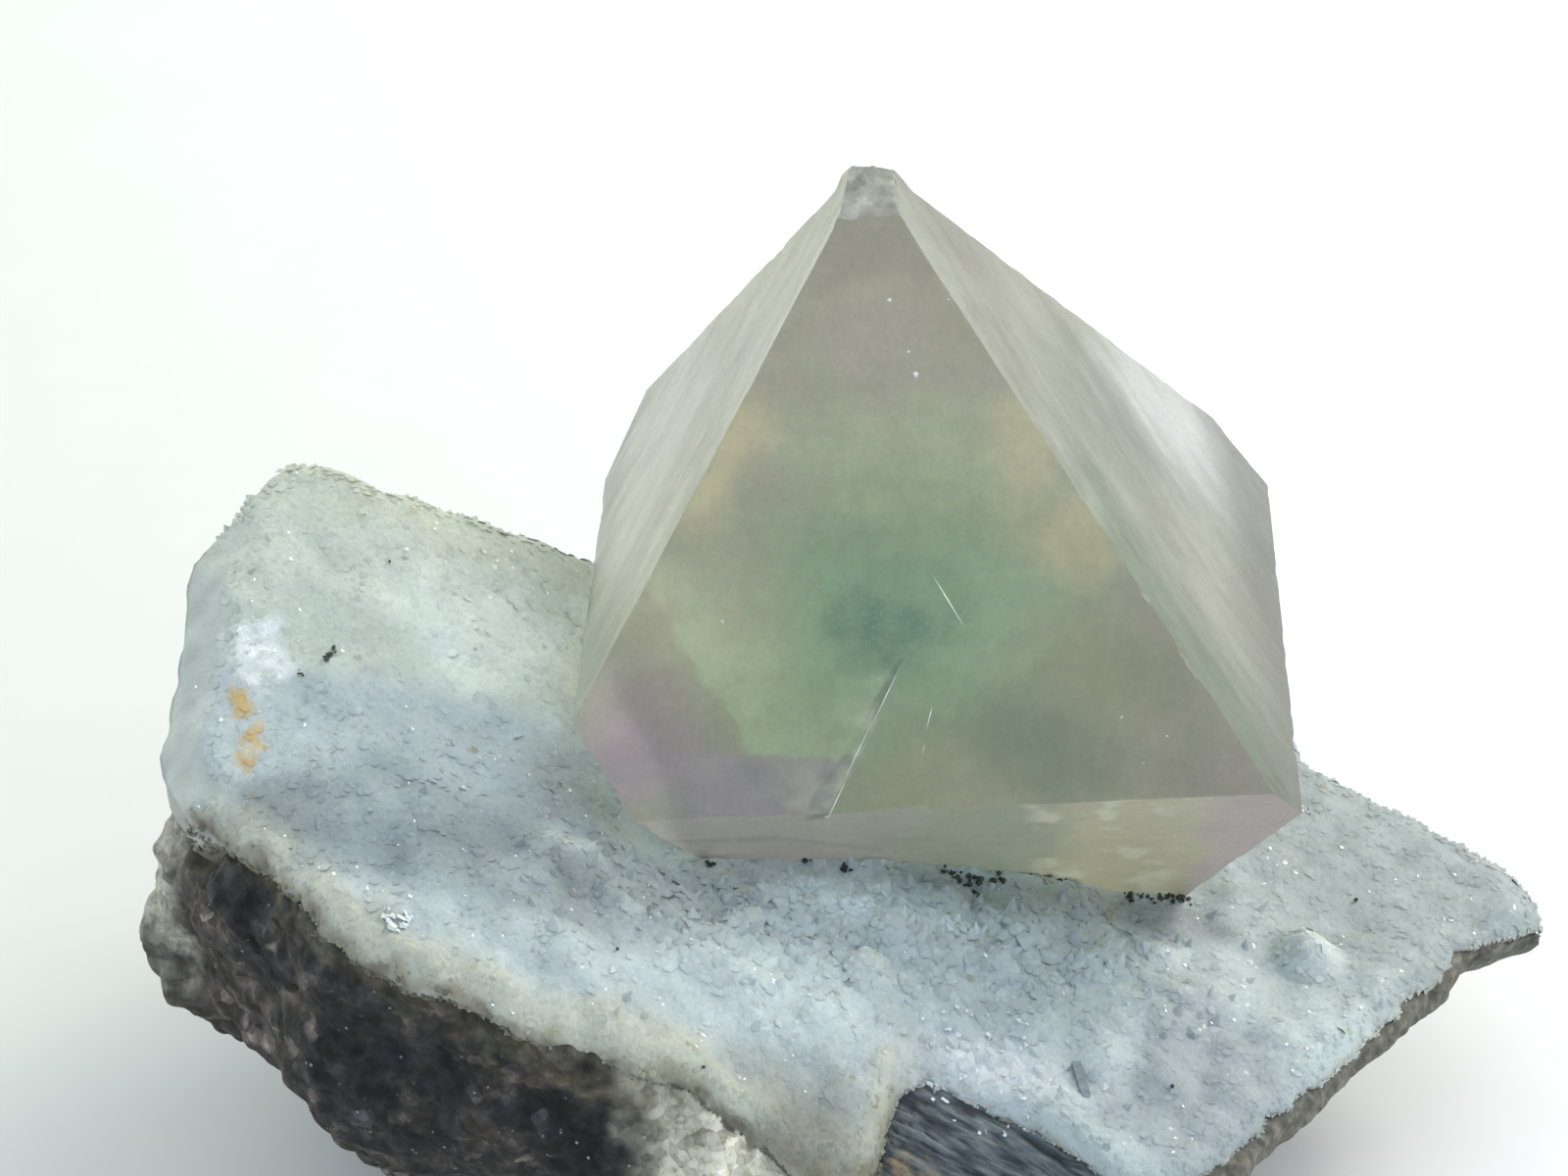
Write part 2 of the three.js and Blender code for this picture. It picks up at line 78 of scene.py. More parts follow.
# x, y, crust thickness, then the rock below: hold, bulge, lip
RIM = np.array([
    [-22.25, -15, 2.8, 2.4, 1, 0.05], [-22.79, -14.08, 3.2, 2.2, 0.9, 0.05], [-23.15, -13.39, 3.4, 2, 0.8, 0.05],
    [-23.6, -12.07, 3.4, 1.8, 0.4, 0.03], [-23.3, -10.29, 3.2, 1.6, 0.2, 0.02], [-23.1, -8.92, 3, 2.1, 0.5, 0],
    [-23.05, -7.69, 2.8, 2.1, 0.5, 0], [-23.0, -6.76, 2.6, 2.1, 0.5, 0], [-22.95, -5.74, 2.5, 2.1, 0.5, 0],
    [-22.75, -4.67, 2.4, 2.1, 0.5, 0], [-22.02, -3.77, 2.3, 2.1, 0.5, 0], [-21.31, -3.04, 2.2, 2.1, 0.5, 0],
    [-20.44, -2, 2.2, 2.1, 0.5, 0], [-19.43, -0.57, 2.2, 2.1, 0.5, 0], [-18.54, -0.37, 2.2, 2.1, 0.5, 0],
    [-17.51, -0.51, 2.2, 2.1, 0.5, 0], [-16.4, -0.86, 2.2, 2.1, 0.5, 0], [-15.23, -0.8, 2.2, 2.1, 0.5, 0],
    [-13.88, -0.72, 2.2, 2.1, 0.6, 0], [-12.46, -0.54, 2.3, 2.1, 0.7, 0], [-11.25, -0.55, 2.4, 2.1, 0.8, 0],
    [-10.06, -0.11, 2.4, 2.1, 0.9, 0], [-9.1, 0.1, 2.5, 2.1, 1, 0], [-8.5, 0.6, 2.5, 2.1, 1, 0],
    [-8, 1.7, 2.5, 2.1, 1, 0], [-7.2, 4, 2.6, 2.1, 0.9, 0], [-6, 7.2, 2.6, 2.1, 0.7, 0], [-4, 10.6, 2.6, 2.1, 0.5, 0],
    [-1, 13.2, 2.6, 2.1, 0.5, 0], [3, 15, 2.6, 2.1, 0.5, 0], [8, 15.6, 2.6, 2.1, 0.5, 0], [11, 15.1, 2.5, 2.1, 0.5, 0],
    [13.8, 13.8, 2.4, 2.1, 0.5, 0], [16, 12.2, 2.3, 2.1, 0.5, 0], [17.8, 10.2, 2.2, 2.1, 0.5, 0.02],
    [19.2, 7.4, 2, 2.1, 0, 0.04], [20.4, 4, 1.9, 2.1, 0, 0.06], [21.45, 0.41, 1.8, 1.5, 0, 0.08],
    [23.26, -0.27, 1.8, 1.5, 0, 0.1], [25.62, -1.44, 1.7, 0.95, 0, 0.1], [27.6, -2.9, 1.6, 0.9, 0, 0.12],
    [29.43, -4.4, 1.4, 0.85, 0, 0.12], [30.02, -5.8, 1.3, 0.85, 0, 0.13], [30.27, -7.24, 1.2, 0.85, 0, 0.13],
    [28.8, -8.3, 1.2, 0.85, 0, 0.14], [26.48, -9.61, 1.3, 0.85, 0.2, 0.14], [25.7, -11.3, 1.4, 0.85, 0.2, 0.15],
    [23.9, -13.25, 1.5, 0.85, 0.3, 0.16], [22.05, -15.98, 1.5, 0.85, 0.3, 0.18], [20.35, -18.37, 1.5, 0.9, 0.3, 0.2],
    [18.5, -20.64, 1.5, 0.95, 0.3, 0.22], [16.5, -23.14, 1.5, 1.1, 0.4, 0.22], [15.4, -24.2, 1.5, 1.3, 0.5, 0.2],
    [13.67, -25.11, 1.6, 1.6, 0.8, 0.15], [12.22, -25, 1.6, 1.9, 1.6, 0.1], [11.08, -24.01, 1.7, 2.1, 2.4, 0.08],
    [9.41, -23, 1.8, 2.2, 3.2, 0.06], [8.04, -22.44, 1.8, 2.2, 3.8, 0.05], [6.68, -21.84, 1.8, 2.2, 4.3, 0.05],
    [5.23, -21.24, 1.9, 2.2, 4.4, 0.05], [4.13, -22.26, 2.2, 2.2, 3.4, 0.05], [3.75, -23.55, 2.7, 2.2, 2.6, 0.05],
    [3.52, -24.54, 3, 2.2, 1.7, 0.05], [3.04, -25.5, 3.2, 2.1, 1.5, 0.05], [1.79, -25.86, 3.2, 2.1, 1.5, 0.05],
    [0.43, -25.95, 2.9, 2.1, 1.6, 0.05], [-0.71, -25.17, 2.5, 2.2, 1.7, 0.05], [-2.07, -24.95, 2.1, 2.3, 1.6, 0.05],
    [-2.89, -24.33, 1.9, 2.4, 1.4, 0.05], [-4.24, -24.22, 1.8, 2.4, 1.1, 0.05], [-5.79, -24.47, 1.8, 2.4, 0.9, 0.05],
    [-7.03, -24.18, 1.8, 2.4, 0.8, 0.05], [-8.68, -24.19, 1.8, 2.4, 0.8, 0.05], [-10.37, -23.99, 1.8, 2.4, 0.8, 0.05],
    [-12.07, -23.44, 1.8, 2.4, 0.8, 0.05], [-13.65, -23.2, 1.8, 2.4, 0.8, 0.05], [-15.51, -22.18, 1.8, 2.4, 0.8, 0.05],
    [-16.82, -21.13, 1.8, 2.4, 0.8, 0.05], [-17.95, -19.54, 1.8, 2.4, 0.9, 0.05],
    [-19.19, -17.91, 1.9, 2.4, 0.9, 0.05], [-20.42, -16.93, 2, 2.4, 1, 0.05],
])
BOTTOM_RIM = 0.985
FOOT_CENTRE = np.array([2.6, -5.4])
FOOT_CORNERS = np.array([
    [-13.8, -6.4], [-10.2, -14.6], [-1.5, -17.6], [9.5, -18.2], [16.6, -12.8], [18.6, -3.2], [12.4, 6.2], [3.2, 8.4], [-8.2, 4.8],
])
ROCK_ROUGHNESS = 0.95
ROCK_PITCH = 4.5
LEAF_NORMAL = (0.469, 0.529, 0.707)  # across the layers of the schist

# ---- small helpers ------------------------------------------------------------------------------------------


def smooth(v):
    t = np.clip(v, 0.0, 1.0)
    return t * t * (3 - 2 * t)


def unit(v):
    v = np.asarray(v, float)
    return v / np.linalg.norm(v, axis=-1, keepdims=True)


def lattice(i, j, k, seed):
    n = (i * 73856093) ^ (j * 19349663) ^ (k * 83492791) ^ (seed * 40503 + 977)
    n &= 0xFFFFFFFF
    n = ((n ^ (n >> 15)) * 0x2C1B3C6D) & 0xFFFFFFFF
    n = ((n ^ (n >> 12)) * 0x297A2D39) & 0xFFFFFFFF
    n ^= n >> 15
    return n / 2147483647.5 - 1.0


def noise(p, pitch, seed=0):
    """Smooth noise between -1 and 1 at the points p, (N, 3)."""
    q = np.asarray(p, float) / pitch
    f = np.floor(q)
    i = f.astype(np.int64)
    u = q - f
    u = u * u * u * (u * (u * 6 - 15) + 10)
    out = np.zeros(len(q))
    for a in (0, 1):
        for b in (0, 1):
            for c in (0, 1):
                w = (u[:, 0] if a else 1 - u[:, 0]) * (u[:, 1] if b else 1 - u[:, 1]) * (u[:, 2] if c else 1 - u[:, 2])
                out += w * lattice(i[:, 0] + a, i[:, 1] + b, i[:, 2] + c, seed)
    return out


def fbm(p, pitch, octaves=3, seed=0, gain=0.5):
    out, amp, total = 0.0, 1.0, 0.0
    for o in range(octaves):
        out = out + amp * noise(p, pitch / 2.07**o, seed + 31 * o)
        total += amp
        amp *= gain
    return out / total


def cells(p, pitch, seed=0):
    """Distance to the nearest and second nearest random point, in pitches, and a number from -1 to 1 for the nearest."""
    q = np.asarray(p, float) / pitch
    base = np.floor(q).astype(np.int64)
    best = np.full(len(q), 9.0)
    second = np.full(len(q), 9.0)
    which = np.zeros(len(q))
    for a in (-1, 0, 1):
        for b in (-1, 0, 1):
            for c in (-1, 0, 1):
                i, j, k = base[:, 0] + a, base[:, 1] + b, base[:, 2] + c
                pt = np.stack([x + 0.5 + 0.48 * lattice(i, j, k, seed + s) for x, s in ((i, 1), (j, 2), (k, 3))], 1)
                d = np.linalg.norm(pt - q, axis=1)
                near = d < best
                second = np.where(near, best, np.minimum(second, d))
                which = np.where(near, lattice(i, j, k, seed + 4), which)
                best = np.where(near, d, best)
    return best, second, which


def facets(p, pitch, seed=0):
    """Broken facets: in each random cell a plane with its own height and tilt."""
    q = np.asarray(p, float) / pitch
    base = np.floor(q).astype(np.int64)
    best = np.full(len(q), 9.0)
    value = np.zeros(len(q))
    for a in (-1, 0, 1):
        for b in (-1, 0, 1):
            for c in (-1, 0, 1):
                i, j, k = base[:, 0] + a, base[:, 1] + b, base[:, 2] + c
                pt = np.stack([x + 0.5 + 0.48 * lattice(i, j, k, seed + s) for x, s in ((i, 1), (j, 2), (k, 3))], 1)
                tilt = np.stack([lattice(i, j, k, seed + s) for s in (4, 5, 6)], 1)
                d = np.linalg.norm(pt - q, axis=1)
                near = d < best
                value = np.where(near, 0.9 * ((q - pt) * tilt).sum(1) + 0.55 * lattice(i, j, k, seed + 7), value)
                best = np.where(near, d, best)
    return value


def solid_noise(p):
    """The noise that roughens the rock solid."""
    f = np.floor(p)
    u = p - f
    u = u * u * (3 - 2 * u)
    out = np.zeros(len(p))
    for a in (0, 1):
        for b in (0, 1):
            for c in (0, 1):
                s = np.sin((f[:, 0] + a) * 127.1 + (f[:, 1] + b) * 311.7 + (f[:, 2] + c) * 74.7) * 43758.5453
                w = (u[:, 0] if a else 1 - u[:, 0]) * (u[:, 1] if b else 1 - u[:, 1]) * (u[:, 2] if c else 1 - u[:, 2])
                out += w * (2 * (s - np.floor(s)) - 1)
    return out


def new_object(name, verts, tris, material, colours=None, smooth_faces=False, extra=None, corner=None):
    """One mesh object from millimetre arrays in the specimen axes. Its vertices hold its place in the part frame."""
    verts = (np.asarray(verts, float) + SHIFT) * 0.001
    tris = np.asarray(tris, np.int32)
    me = bpy.data.meshes.new(name)
    me.vertices.add(len(verts))
    me.vertices.foreach_set("co", verts.astype(np.float32).ravel())
    me.loops.add(tris.size)
    me.loops.foreach_set("vertex_index", tris.ravel())
    me.polygons.add(len(tris))
    me.polygons.foreach_set("loop_start", np.arange(0, tris.size, 3, dtype=np.int32))
    me.polygons.foreach_set("use_smooth", np.full(len(tris), smooth_faces, dtype=bool))
    me.update(calc_edges=True)
    for attr, values in {"tint": colours, **(extra or {})}.items():
        if values is None:
            continue
        values = np.asarray(values, float)
        if values.ndim == 1:
            values = np.repeat(values[:, None], 3, 1)
        rgba = np.ones((len(verts), 4), np.float32)
        rgba[:, : values.shape[1]] = values
        layer = me.attributes.new(attr, "FLOAT_COLOR", "POINT")
        layer.data.foreach_set("color", rgba.ravel())
    for attr, values in (corner or {}).items():
        rgba = np.ones((tris.size, 4), np.float32)
        rgba[:, : values.shape[1]] = values
        layer = me.attributes.new(attr, "FLOAT_COLOR", "CORNER")
        layer.data.foreach_set("color", rgba.ravel())
    me.materials.append(material)
    ob = bpy.data.objects.new(name, me)
    SCENE.collection.objects.link(ob)
    return ob


def vertex_normals(verts, tris):
    a, b, c = verts[tris[:, 0]], verts[tris[:, 1]], verts[tris[:, 2]]
    n = np.cross(b - a, c - a)
    out = np.zeros_like(verts)
    for k in range(3):
        np.add.at(out, tris[:, k], n)
    return out / np.maximum(np.linalg.norm(out, axis=1, keepdims=True), 1e-12)


def ring_skin(first, rings, last):
    """Closed skin over a stack of rings of equal length, with a middle point at each end."""
    n = len(rings[0])
    verts = np.vstack([first[None], *rings, last[None]])
    i = np.arange(n)
    j = (i + 1) % n
    tris = [np.stack([np.zeros(n, int), 1 + j, 1 + i], 1)]
    for r in range(len(rings) - 1):
        a, b = 1 + r * n, 1 + (r + 1) * n
        tris.append(np.stack([a + i, a + j, b + i], 1))
        tris.append(np.stack([a + j, b + j, b + i], 1))
    e, a = len(verts) - 1, 1 + (len(rings) - 1) * n
    tris.append(np.stack([np.full(n, e), a + i, a + j], 1))
    return verts, np.vstack(tris)


def mixed(a, b, w):
    w = np.asarray(w)[..., None]
    return a * (1 - w) + np.asarray(b, float) * w


# ---- material nodes -----------------------------------------------------------------------------------------


class Nodes:
    def __init__(self, name):
        self.mat = bpy.data.materials.new(name)
        self.mat.use_nodes = True
        self.tree = self.mat.node_tree
        self.tree.nodes.clear()
        self.out = self.add("ShaderNodeOutputMaterial")
        self.bsdf = self.add("ShaderNodeBsdfPrincipled")
        self.link(self.bsdf.outputs[0], self.out.inputs["Surface"])
        coord = self.add("ShaderNodeTexCoord")
        scale = self.add("ShaderNodeVectorMath", operation="SCALE")
        scale.inputs["Scale"].default_value = 1000.0
        self.link(coord.outputs["Object"], scale.inputs[0])
        self.mm = scale.outputs[0]

    def add(self, kind, **props):
        n = self.tree.nodes.new(kind)
        for k, v in props.items():
            setattr(n, k, v)
        return n

    def link(self, a, b):
        self.tree.links.new(a, b)

    def put(self, socket, value):
        if isinstance(value, bpy.types.NodeSocket):
            self.link(value, socket)
        else:
            socket.default_value = value

    def set(self, **values):
        for k, v in values.items():
            self.put(self.bsdf.inputs[k.replace("_", " ")], v)

    def stretched(self, scale, rotation=(0, 0, 0)):
        m = self.add("ShaderNodeMapping")
        m.inputs["Rotation"].default_value = rotation
        m.inputs["Scale"].default_value = scale
        self.link(self.mm, m.inputs["Vector"])
        return m.outputs[0]

    def wobbled(self, size, mm):
        """The place in millimetres, moved unevenly."""
        n = self.add("ShaderNodeTexNoise")
        self.link(self.mm, n.inputs["Vector"])
        n.inputs["Scale"].default_value = 1.0 / size
        n.inputs["Detail"].default_value = 2.0
        off = self.add("ShaderNodeVectorMath", operation="SCALE")
        off.inputs["Scale"].default_value = mm
        self.link(n.outputs["Color"], off.inputs[0])
        total = self.add("ShaderNodeVectorMath", operation="ADD")
        self.link(self.mm, total.inputs[0])
        self.link(off.outputs[0], total.inputs[1])
        return total.outputs[0]

    def noise(self, size, detail=3.0, rough=0.55, vec=None, distort=0.0):
        n = self.add("ShaderNodeTexNoise")
        self.link(vec or self.mm, n.inputs["Vector"])
        n.inputs["Scale"].default_value = 1.0 / size
        n.inputs["Detail"].default_value = detail
        n.inputs["Roughness"].default_value = rough
        n.inputs["Distortion"].default_value = distort
        return n.outputs["Fac"]

    def voronoi(self, size, out="Distance", feature="F1", vec=None):
        n = self.add("ShaderNodeTexVoronoi", feature=feature)
        self.link(vec or self.mm, n.inputs["Vector"])
        n.inputs["Scale"].default_value = 1.0 / size
        return n.outputs[out]

    def ramp(self, fac, stops, interpolation="LINEAR"):
        n = self.add("ShaderNodeValToRGB")
        n.color_ramp.interpolation = interpolation
        els = n.color_ramp.elements
        while len(els) < len(stops):
            els.new(0.5)
        for e, (pos, col) in zip(els, stops):
            e.position = pos
            e.color = (col, col, col, 1) if isinstance(col, (int, float)) else (*col, 1)
        self.link(fac, n.inputs["Fac"])
        return n.outputs["Color"]

    def math(self, op, a, b=0.0, clamp=False):
        n = self.add("ShaderNodeMath", operation=op, use_clamp=clamp)
        self.put(n.inputs[0], a)
        self.put(n.inputs[1], b)
        return n.outputs[0]

    def mix(self, fac, a, b, blend="MIX"):
        n = self.add("ShaderNodeMix", data_type="RGBA", blend_type=blend)
        self.put(n.inputs[0], fac)
        for s, v in ((n.inputs[6], a), (n.inputs[7], b)):
            self.put(s, (*v, 1) if isinstance(v, tuple) and len(v) == 3 else v)
        return n.outputs[2]

    def attr(self, name, out="Color"):
        return self.add("ShaderNodeAttribute", attribute_name=name).outputs[out]

    def split(self, colour):
        n = self.add("ShaderNodeSeparateColor")
        self.link(colour, n.inputs[0])
        return n.outputs[0], n.outputs[1], n.outputs[2]

    def bump(self, height, mm, strength=1.0, normal=None):
        n = self.add("ShaderNodeBump")
        n.inputs["Strength"].default_value = strength
        n.inputs["Distance"].default_value = mm * 0.001
        self.link(height, n.inputs["Height"])
        if normal is not None:
            self.link(normal, n.inputs["Normal"])
        return n.outputs[0]


def quartz_material(name, fine):
    m = Nodes(name)
    mottle = m.ramp(m.noise(0.9, 4), [(0.3, 0.94), (0.7, 1.05)])
    grain = m.ramp(m.noise(0.16, 2), [(0.3, 0.96), (0.72, 1.03)])
    colour = m.mix(1.0, m.mix(1.0, m.attr("tint"), mottle, "MULTIPLY"), grain, "MULTIPLY")
    shine = m.split(m.attr("shine"))[0]
    rough = m.math("SUBTRACT", m.math("ADD", 0.5, m.math("MULTIPLY", m.noise(0.5, 2), 0.16)), m.math("MULTIPLY", shine, 0.46), clamp=True)
    m.set(Base_Color=colour, Roughness=rough, IOR=1.544)
    if fine:
        m.set(Normal=m.bump(m.noise(0.22, 3, 0.6), 0.08, 0.7))
    return m.mat


def rock_material():
    m = Nodes("dark_rock_broken")
    schist, pale, brown = m.split(m.attr("zone"))
    rim, ochre, contact = m.split(m.attr("tint"))
    # gneiss: purplish black, granular, with small sparkling grains
    grain = m.split(m.voronoi(0.36, "Color"))[0]
    granular = m.ramp(grain, [(0.0, 0.62), (0.6, 1.0), (1.0, 1.55)])
    clump = m.split(m.voronoi(0.75, "Color", vec=m.wobbled(0.7, 0.3)))[1]
    granular = m.mix(1.0, granular, m.ramp(clump, [(0.0, 0.55), (0.5, 0.85), (0.8, 1.25), (1.0, 2.2)]), "MULTIPLY")
    body = m.ramp(m.noise(1.5, 4, 0.55), [(0.36, (0.0060, 0.0051, 0.0060)), (0.5, (0.0148, 0.0128, 0.0146)), (0.66, (0.042, 0.037, 0.0385))])
    body = m.mix(1.0, body, granular, "MULTIPLY")
    # brown weathered parts
    weathered = m.ramp(m.noise(1.0, 4, 0.55), [(0.32, (0.025, 0.021, 0.0165)), (0.5, (0.076, 0.062, 0.050)), (0.68, (0.155, 0.129, 0.105))])
    weathered = m.mix(1.0, weathered, granular, "MULTIPLY")
    body = m.mix(m.math("MULTIPLY", brown, m.ramp(m.noise(1.6, 3, 0.5), [(0.36, 0.35), (0.55, 1.0)])), body, weathered)
    glint = m.ramp(m.voronoi(0.62), [(0.07, 1.0), (0.12, 0.0)])
    body = m.mix(m.math("MULTIPLY", glint, m.ramp(m.noise(2.2, 2), [(0.42, 0.1), (0.6, 0.75)])), body, (0.42, 0.41, 0.42))
    # ochre and greenish grey seam under the quartz
    seam = m.ramp(m.noise(0.6, 3, 0.55), [(0.3, (0.05, 0.042, 0.025)), (0.5, (0.15, 0.125, 0.07)), (0.7, (0.26, 0.245, 0.18))])
    body = m.mix(m.math("MULTIPLY", contact, m.ramp(m.noise(1.5, 3), [(0.35, 0.15), (0.65, 0.65)])), body, seam)
    # blue-grey foliated schist, in layers
    across = m.add("ShaderNodeVectorMath", operation="DOT_PRODUCT")
    m.link(m.mm, across.inputs[0])
    across.inputs[1].default_value = LEAF_NORMAL
    layer = m.add("ShaderNodeVectorMath", operation="SCALE")
    layer.inputs[0].default_value = LEAF_NORMAL
    m.link(m.math("MULTIPLY", across.outputs["Value"], 2.6), layer.inputs["Scale"])
    even = m.add("ShaderNodeVectorMath", operation="SCALE")
    even.inputs["Scale"].default_value = 0.55
    m.link(m.mm, even.inputs[0])
    place = m.add("ShaderNodeVectorMath", operation="ADD")
    m.link(layer.outputs[0], place.inputs[0])
    m.link(even.outputs[0], place.inputs[1])
    leaves = m.noise(1.0, 4, 0.6, place.outputs[0], 0.3)
    leaf = m.ramp(leaves, [(0.34, (0.034, 0.041, 0.045)), (0.47, (0.09, 0.107, 0.114)), (0.6, (0.22, 0.24, 0.242)), (0.7, (0.068, 0.080, 0.086))])
    rust = m.math("MULTIPLY", ochre, m.ramp(m.noise(0.6, 4, 0.6), [(0.4, 0.0), (0.6, 1.0)]))
    leaf = m.mix(rust, leaf, (0.36, 0.28, 0.155))
    body = m.mix(schist, body, leaf)
    # greyish-white granular lump
    grains = m.ramp(m.noise(0.4, 4, 0.6), [(0.3, (0.44, 0.405, 0.30)), (0.48, (0.80, 0.745, 0.58)), (0.68, (0.93, 0.895, 0.76))])
    place = m.wobbled(0.6, 0.35)
    block = m.ramp(m.split(m.voronoi(0.5, "Color", vec=place))[0], [(0.0, 0.58), (0.45, 1.05), (1.0, 1.45)])
    gap = m.ramp(m.voronoi(0.5, "Distance", "DISTANCE_TO_EDGE", place), [(0.0, 0.75), (0.05, 1.0)])
    grains = m.mix(1.0, m.mix(1.0, grains, block, "MULTIPLY"), gap, "MULTIPLY")
    body = m.mix(pale, body, grains)
    # brown-grey rim on the right
    band = m.ramp(m.noise(0.45, 5, 0.6), [(0.3, (0.055, 0.051, 0.040)), (0.52, (0.135, 0.128, 0.102)), (0.75, (0.26, 0.25, 0.205))])
    body = m.mix(rim, body, band)
    rough = m.ramp(m.noise(0.7, 2), [(0.3, 0.66), (0.7, 0.95)])
    height = m.math("ADD", m.noise(0.8, 2, 0.45), m.math("MULTIPLY", m.voronoi(0.45), 0.5))
    m.set(Base_Color=body, Roughness=rough, IOR=1.5, Normal=m.bump(height, 0.2, 0.55))
    return m.mat


def crystal_material():
    m = Nodes("fluorite_frosted")
    speck, streak, _ = m.split(m.attr("mark"))
    run = m.attr("run", "Vector")
    haze = m.ramp(m.noise(1.9, 5, 0.62), [(0.3, 0.93), (0.7, 1.05)])
    fine = m.ramp(m.noise(0.26, 4, 0.68), [(0.3, 0.88), (0.7, 1.1)])
    colour = m.mix(1.0, m.mix(1.0, m.attr("tint"), haze, "MULTIPLY"), fine, "MULTIPLY")
    dots = m.math("MULTIPLY", speck, m.ramp(m.noise(0.17, 3, 0.6), [(0.52, 0.0), (0.66, 1.0)]))
    colour = m.mix(m.math("MULTIPLY", dots, 0.6), colour, (0.25, 0.42, 0.42))
    lines = m.noise(1.0, 4, 0.6, run)
    colour = m.mix(streak, colour, m.mix(1.0, colour, m.ramp(lines, [(0.36, 0.92), (0.5, 0.985), (0.58, 1.02), (0.67, 1.4)]), "MULTIPLY"))
    rough = m.ramp(m.noise(1.1, 4, 0.6), [(0.3, 0.46), (0.7, 0.54)])
    bump = m.bump(m.math("MULTIPLY", lines, streak), 0.05, 0.6)
    m.set(Base_Color=colour, Roughness=rough, IOR=1.434, Transmission_Weight=0.9, Normal=bump)
    vol = m.add("ShaderNodeVolumeAbsorption")
    vol.inputs["Color"].default_value = (0.80, 0.80, 0.77, 1)
    vol.inputs["Density"].default_value = 16.0
    m.link(vol.outputs[0], m.out.inputs["Volume"])
    return m.mat


def zone_material(name, colour, absorb, density, transmission):
    m = Nodes(name)
    cloud = m.ramp(m.noise(1.4, 4, 0.6), [(0.3, 0.95), (0.7, 1.0)])
    m.set(Base_Color=m.mix(1.0, (*colour, 1), cloud, "MULTIPLY"), Roughness=0.3, IOR=1.0, Transmission_Weight=transmission)
    m.bsdf.inputs["Specular IOR Level"].default_value = 0.0
    vol = m.add("ShaderNodeVolumeAbsorption")
    vol.inputs["Color"].default_value = (*absorb, 1)
    vol.inputs["Density"].default_value = density
    m.link(vol.outputs[0], m.out.inputs["Volume"])
    return m.mat


def plain_mineral(name, stops, size, rough, transmission=0.0, ior=1.5):
    m = Nodes(name)
    m.set(Base_Color=m.ramp(m.noise(size, 4, 0.6), stops), Roughness=m.ramp(m.noise(size * 0.6, 3), [(0.3, rough * 0.8), (0.7, rough * 1.15)]), IOR=ior, Transmission_Weight=transmission)
    return m.mat


# ---- crystal ------------------------------------------------------------------------------------------------


def crystal_planes(grow=0.0):
    names, normals, offsets = [], [], []
    for name, signs, distance in CRYSTAL_FACES:
        n = unit(np.array(signs, float) @ CRYSTAL_AXES)
        names.append(name)
        normals.append(n)
        offsets.append(distance + n @ CRYSTAL_CENTRE + grow)
    for name, n, off in CRYSTAL_CUTS:
        names.append(name)
        normals.append(unit(n))
        offsets.append(off + grow)
    return names, np.array(normals), np.array(offsets)


PLANE_NAMES, PLANE_N, PLANE_D = crystal_planes()


def inside_crystal(p, margin=0.0):
    """How far the points lie inside the crystal: positive inside."""
    return (PLANE_D - p @ PLANE_N.T).min(1) - margin


def polyhedron(normals, offsets):
    """Corners and faces of the convex body of these planes."""
    corners = []
    m = len(normals)
    for a in range(m):
        for b in range(a + 1, m):
            for c in range(b + 1, m):
                mat = normals[[a, b, c]]
                if abs(np.linalg.det(mat)) < 1e-6:
                    continue
                p = np.linalg.solve(mat, offsets[[a, b, c]])
                if np.all(normals @ p <= offsets + 1e-6) and not any(np.linalg.norm(p - q) < 1e-3 for q in corners):
                    corners.append(p)
    corners = np.array(corners)
    faces = []
    for k in range(m):
        on = np.where(np.abs(corners @ normals[k] - offsets[k]) < 2e-3)[0]
        if len(on) < 3:
            continue
        mid = corners[on].mean(0)
        u = unit(corners[on[0]] - mid)
        v = np.cross(normals[k], u)
        rel = corners[on] - mid
        faces.append((k, on[np.argsort(np.arctan2(rel @ v, rel @ u))]))
    return corners, faces


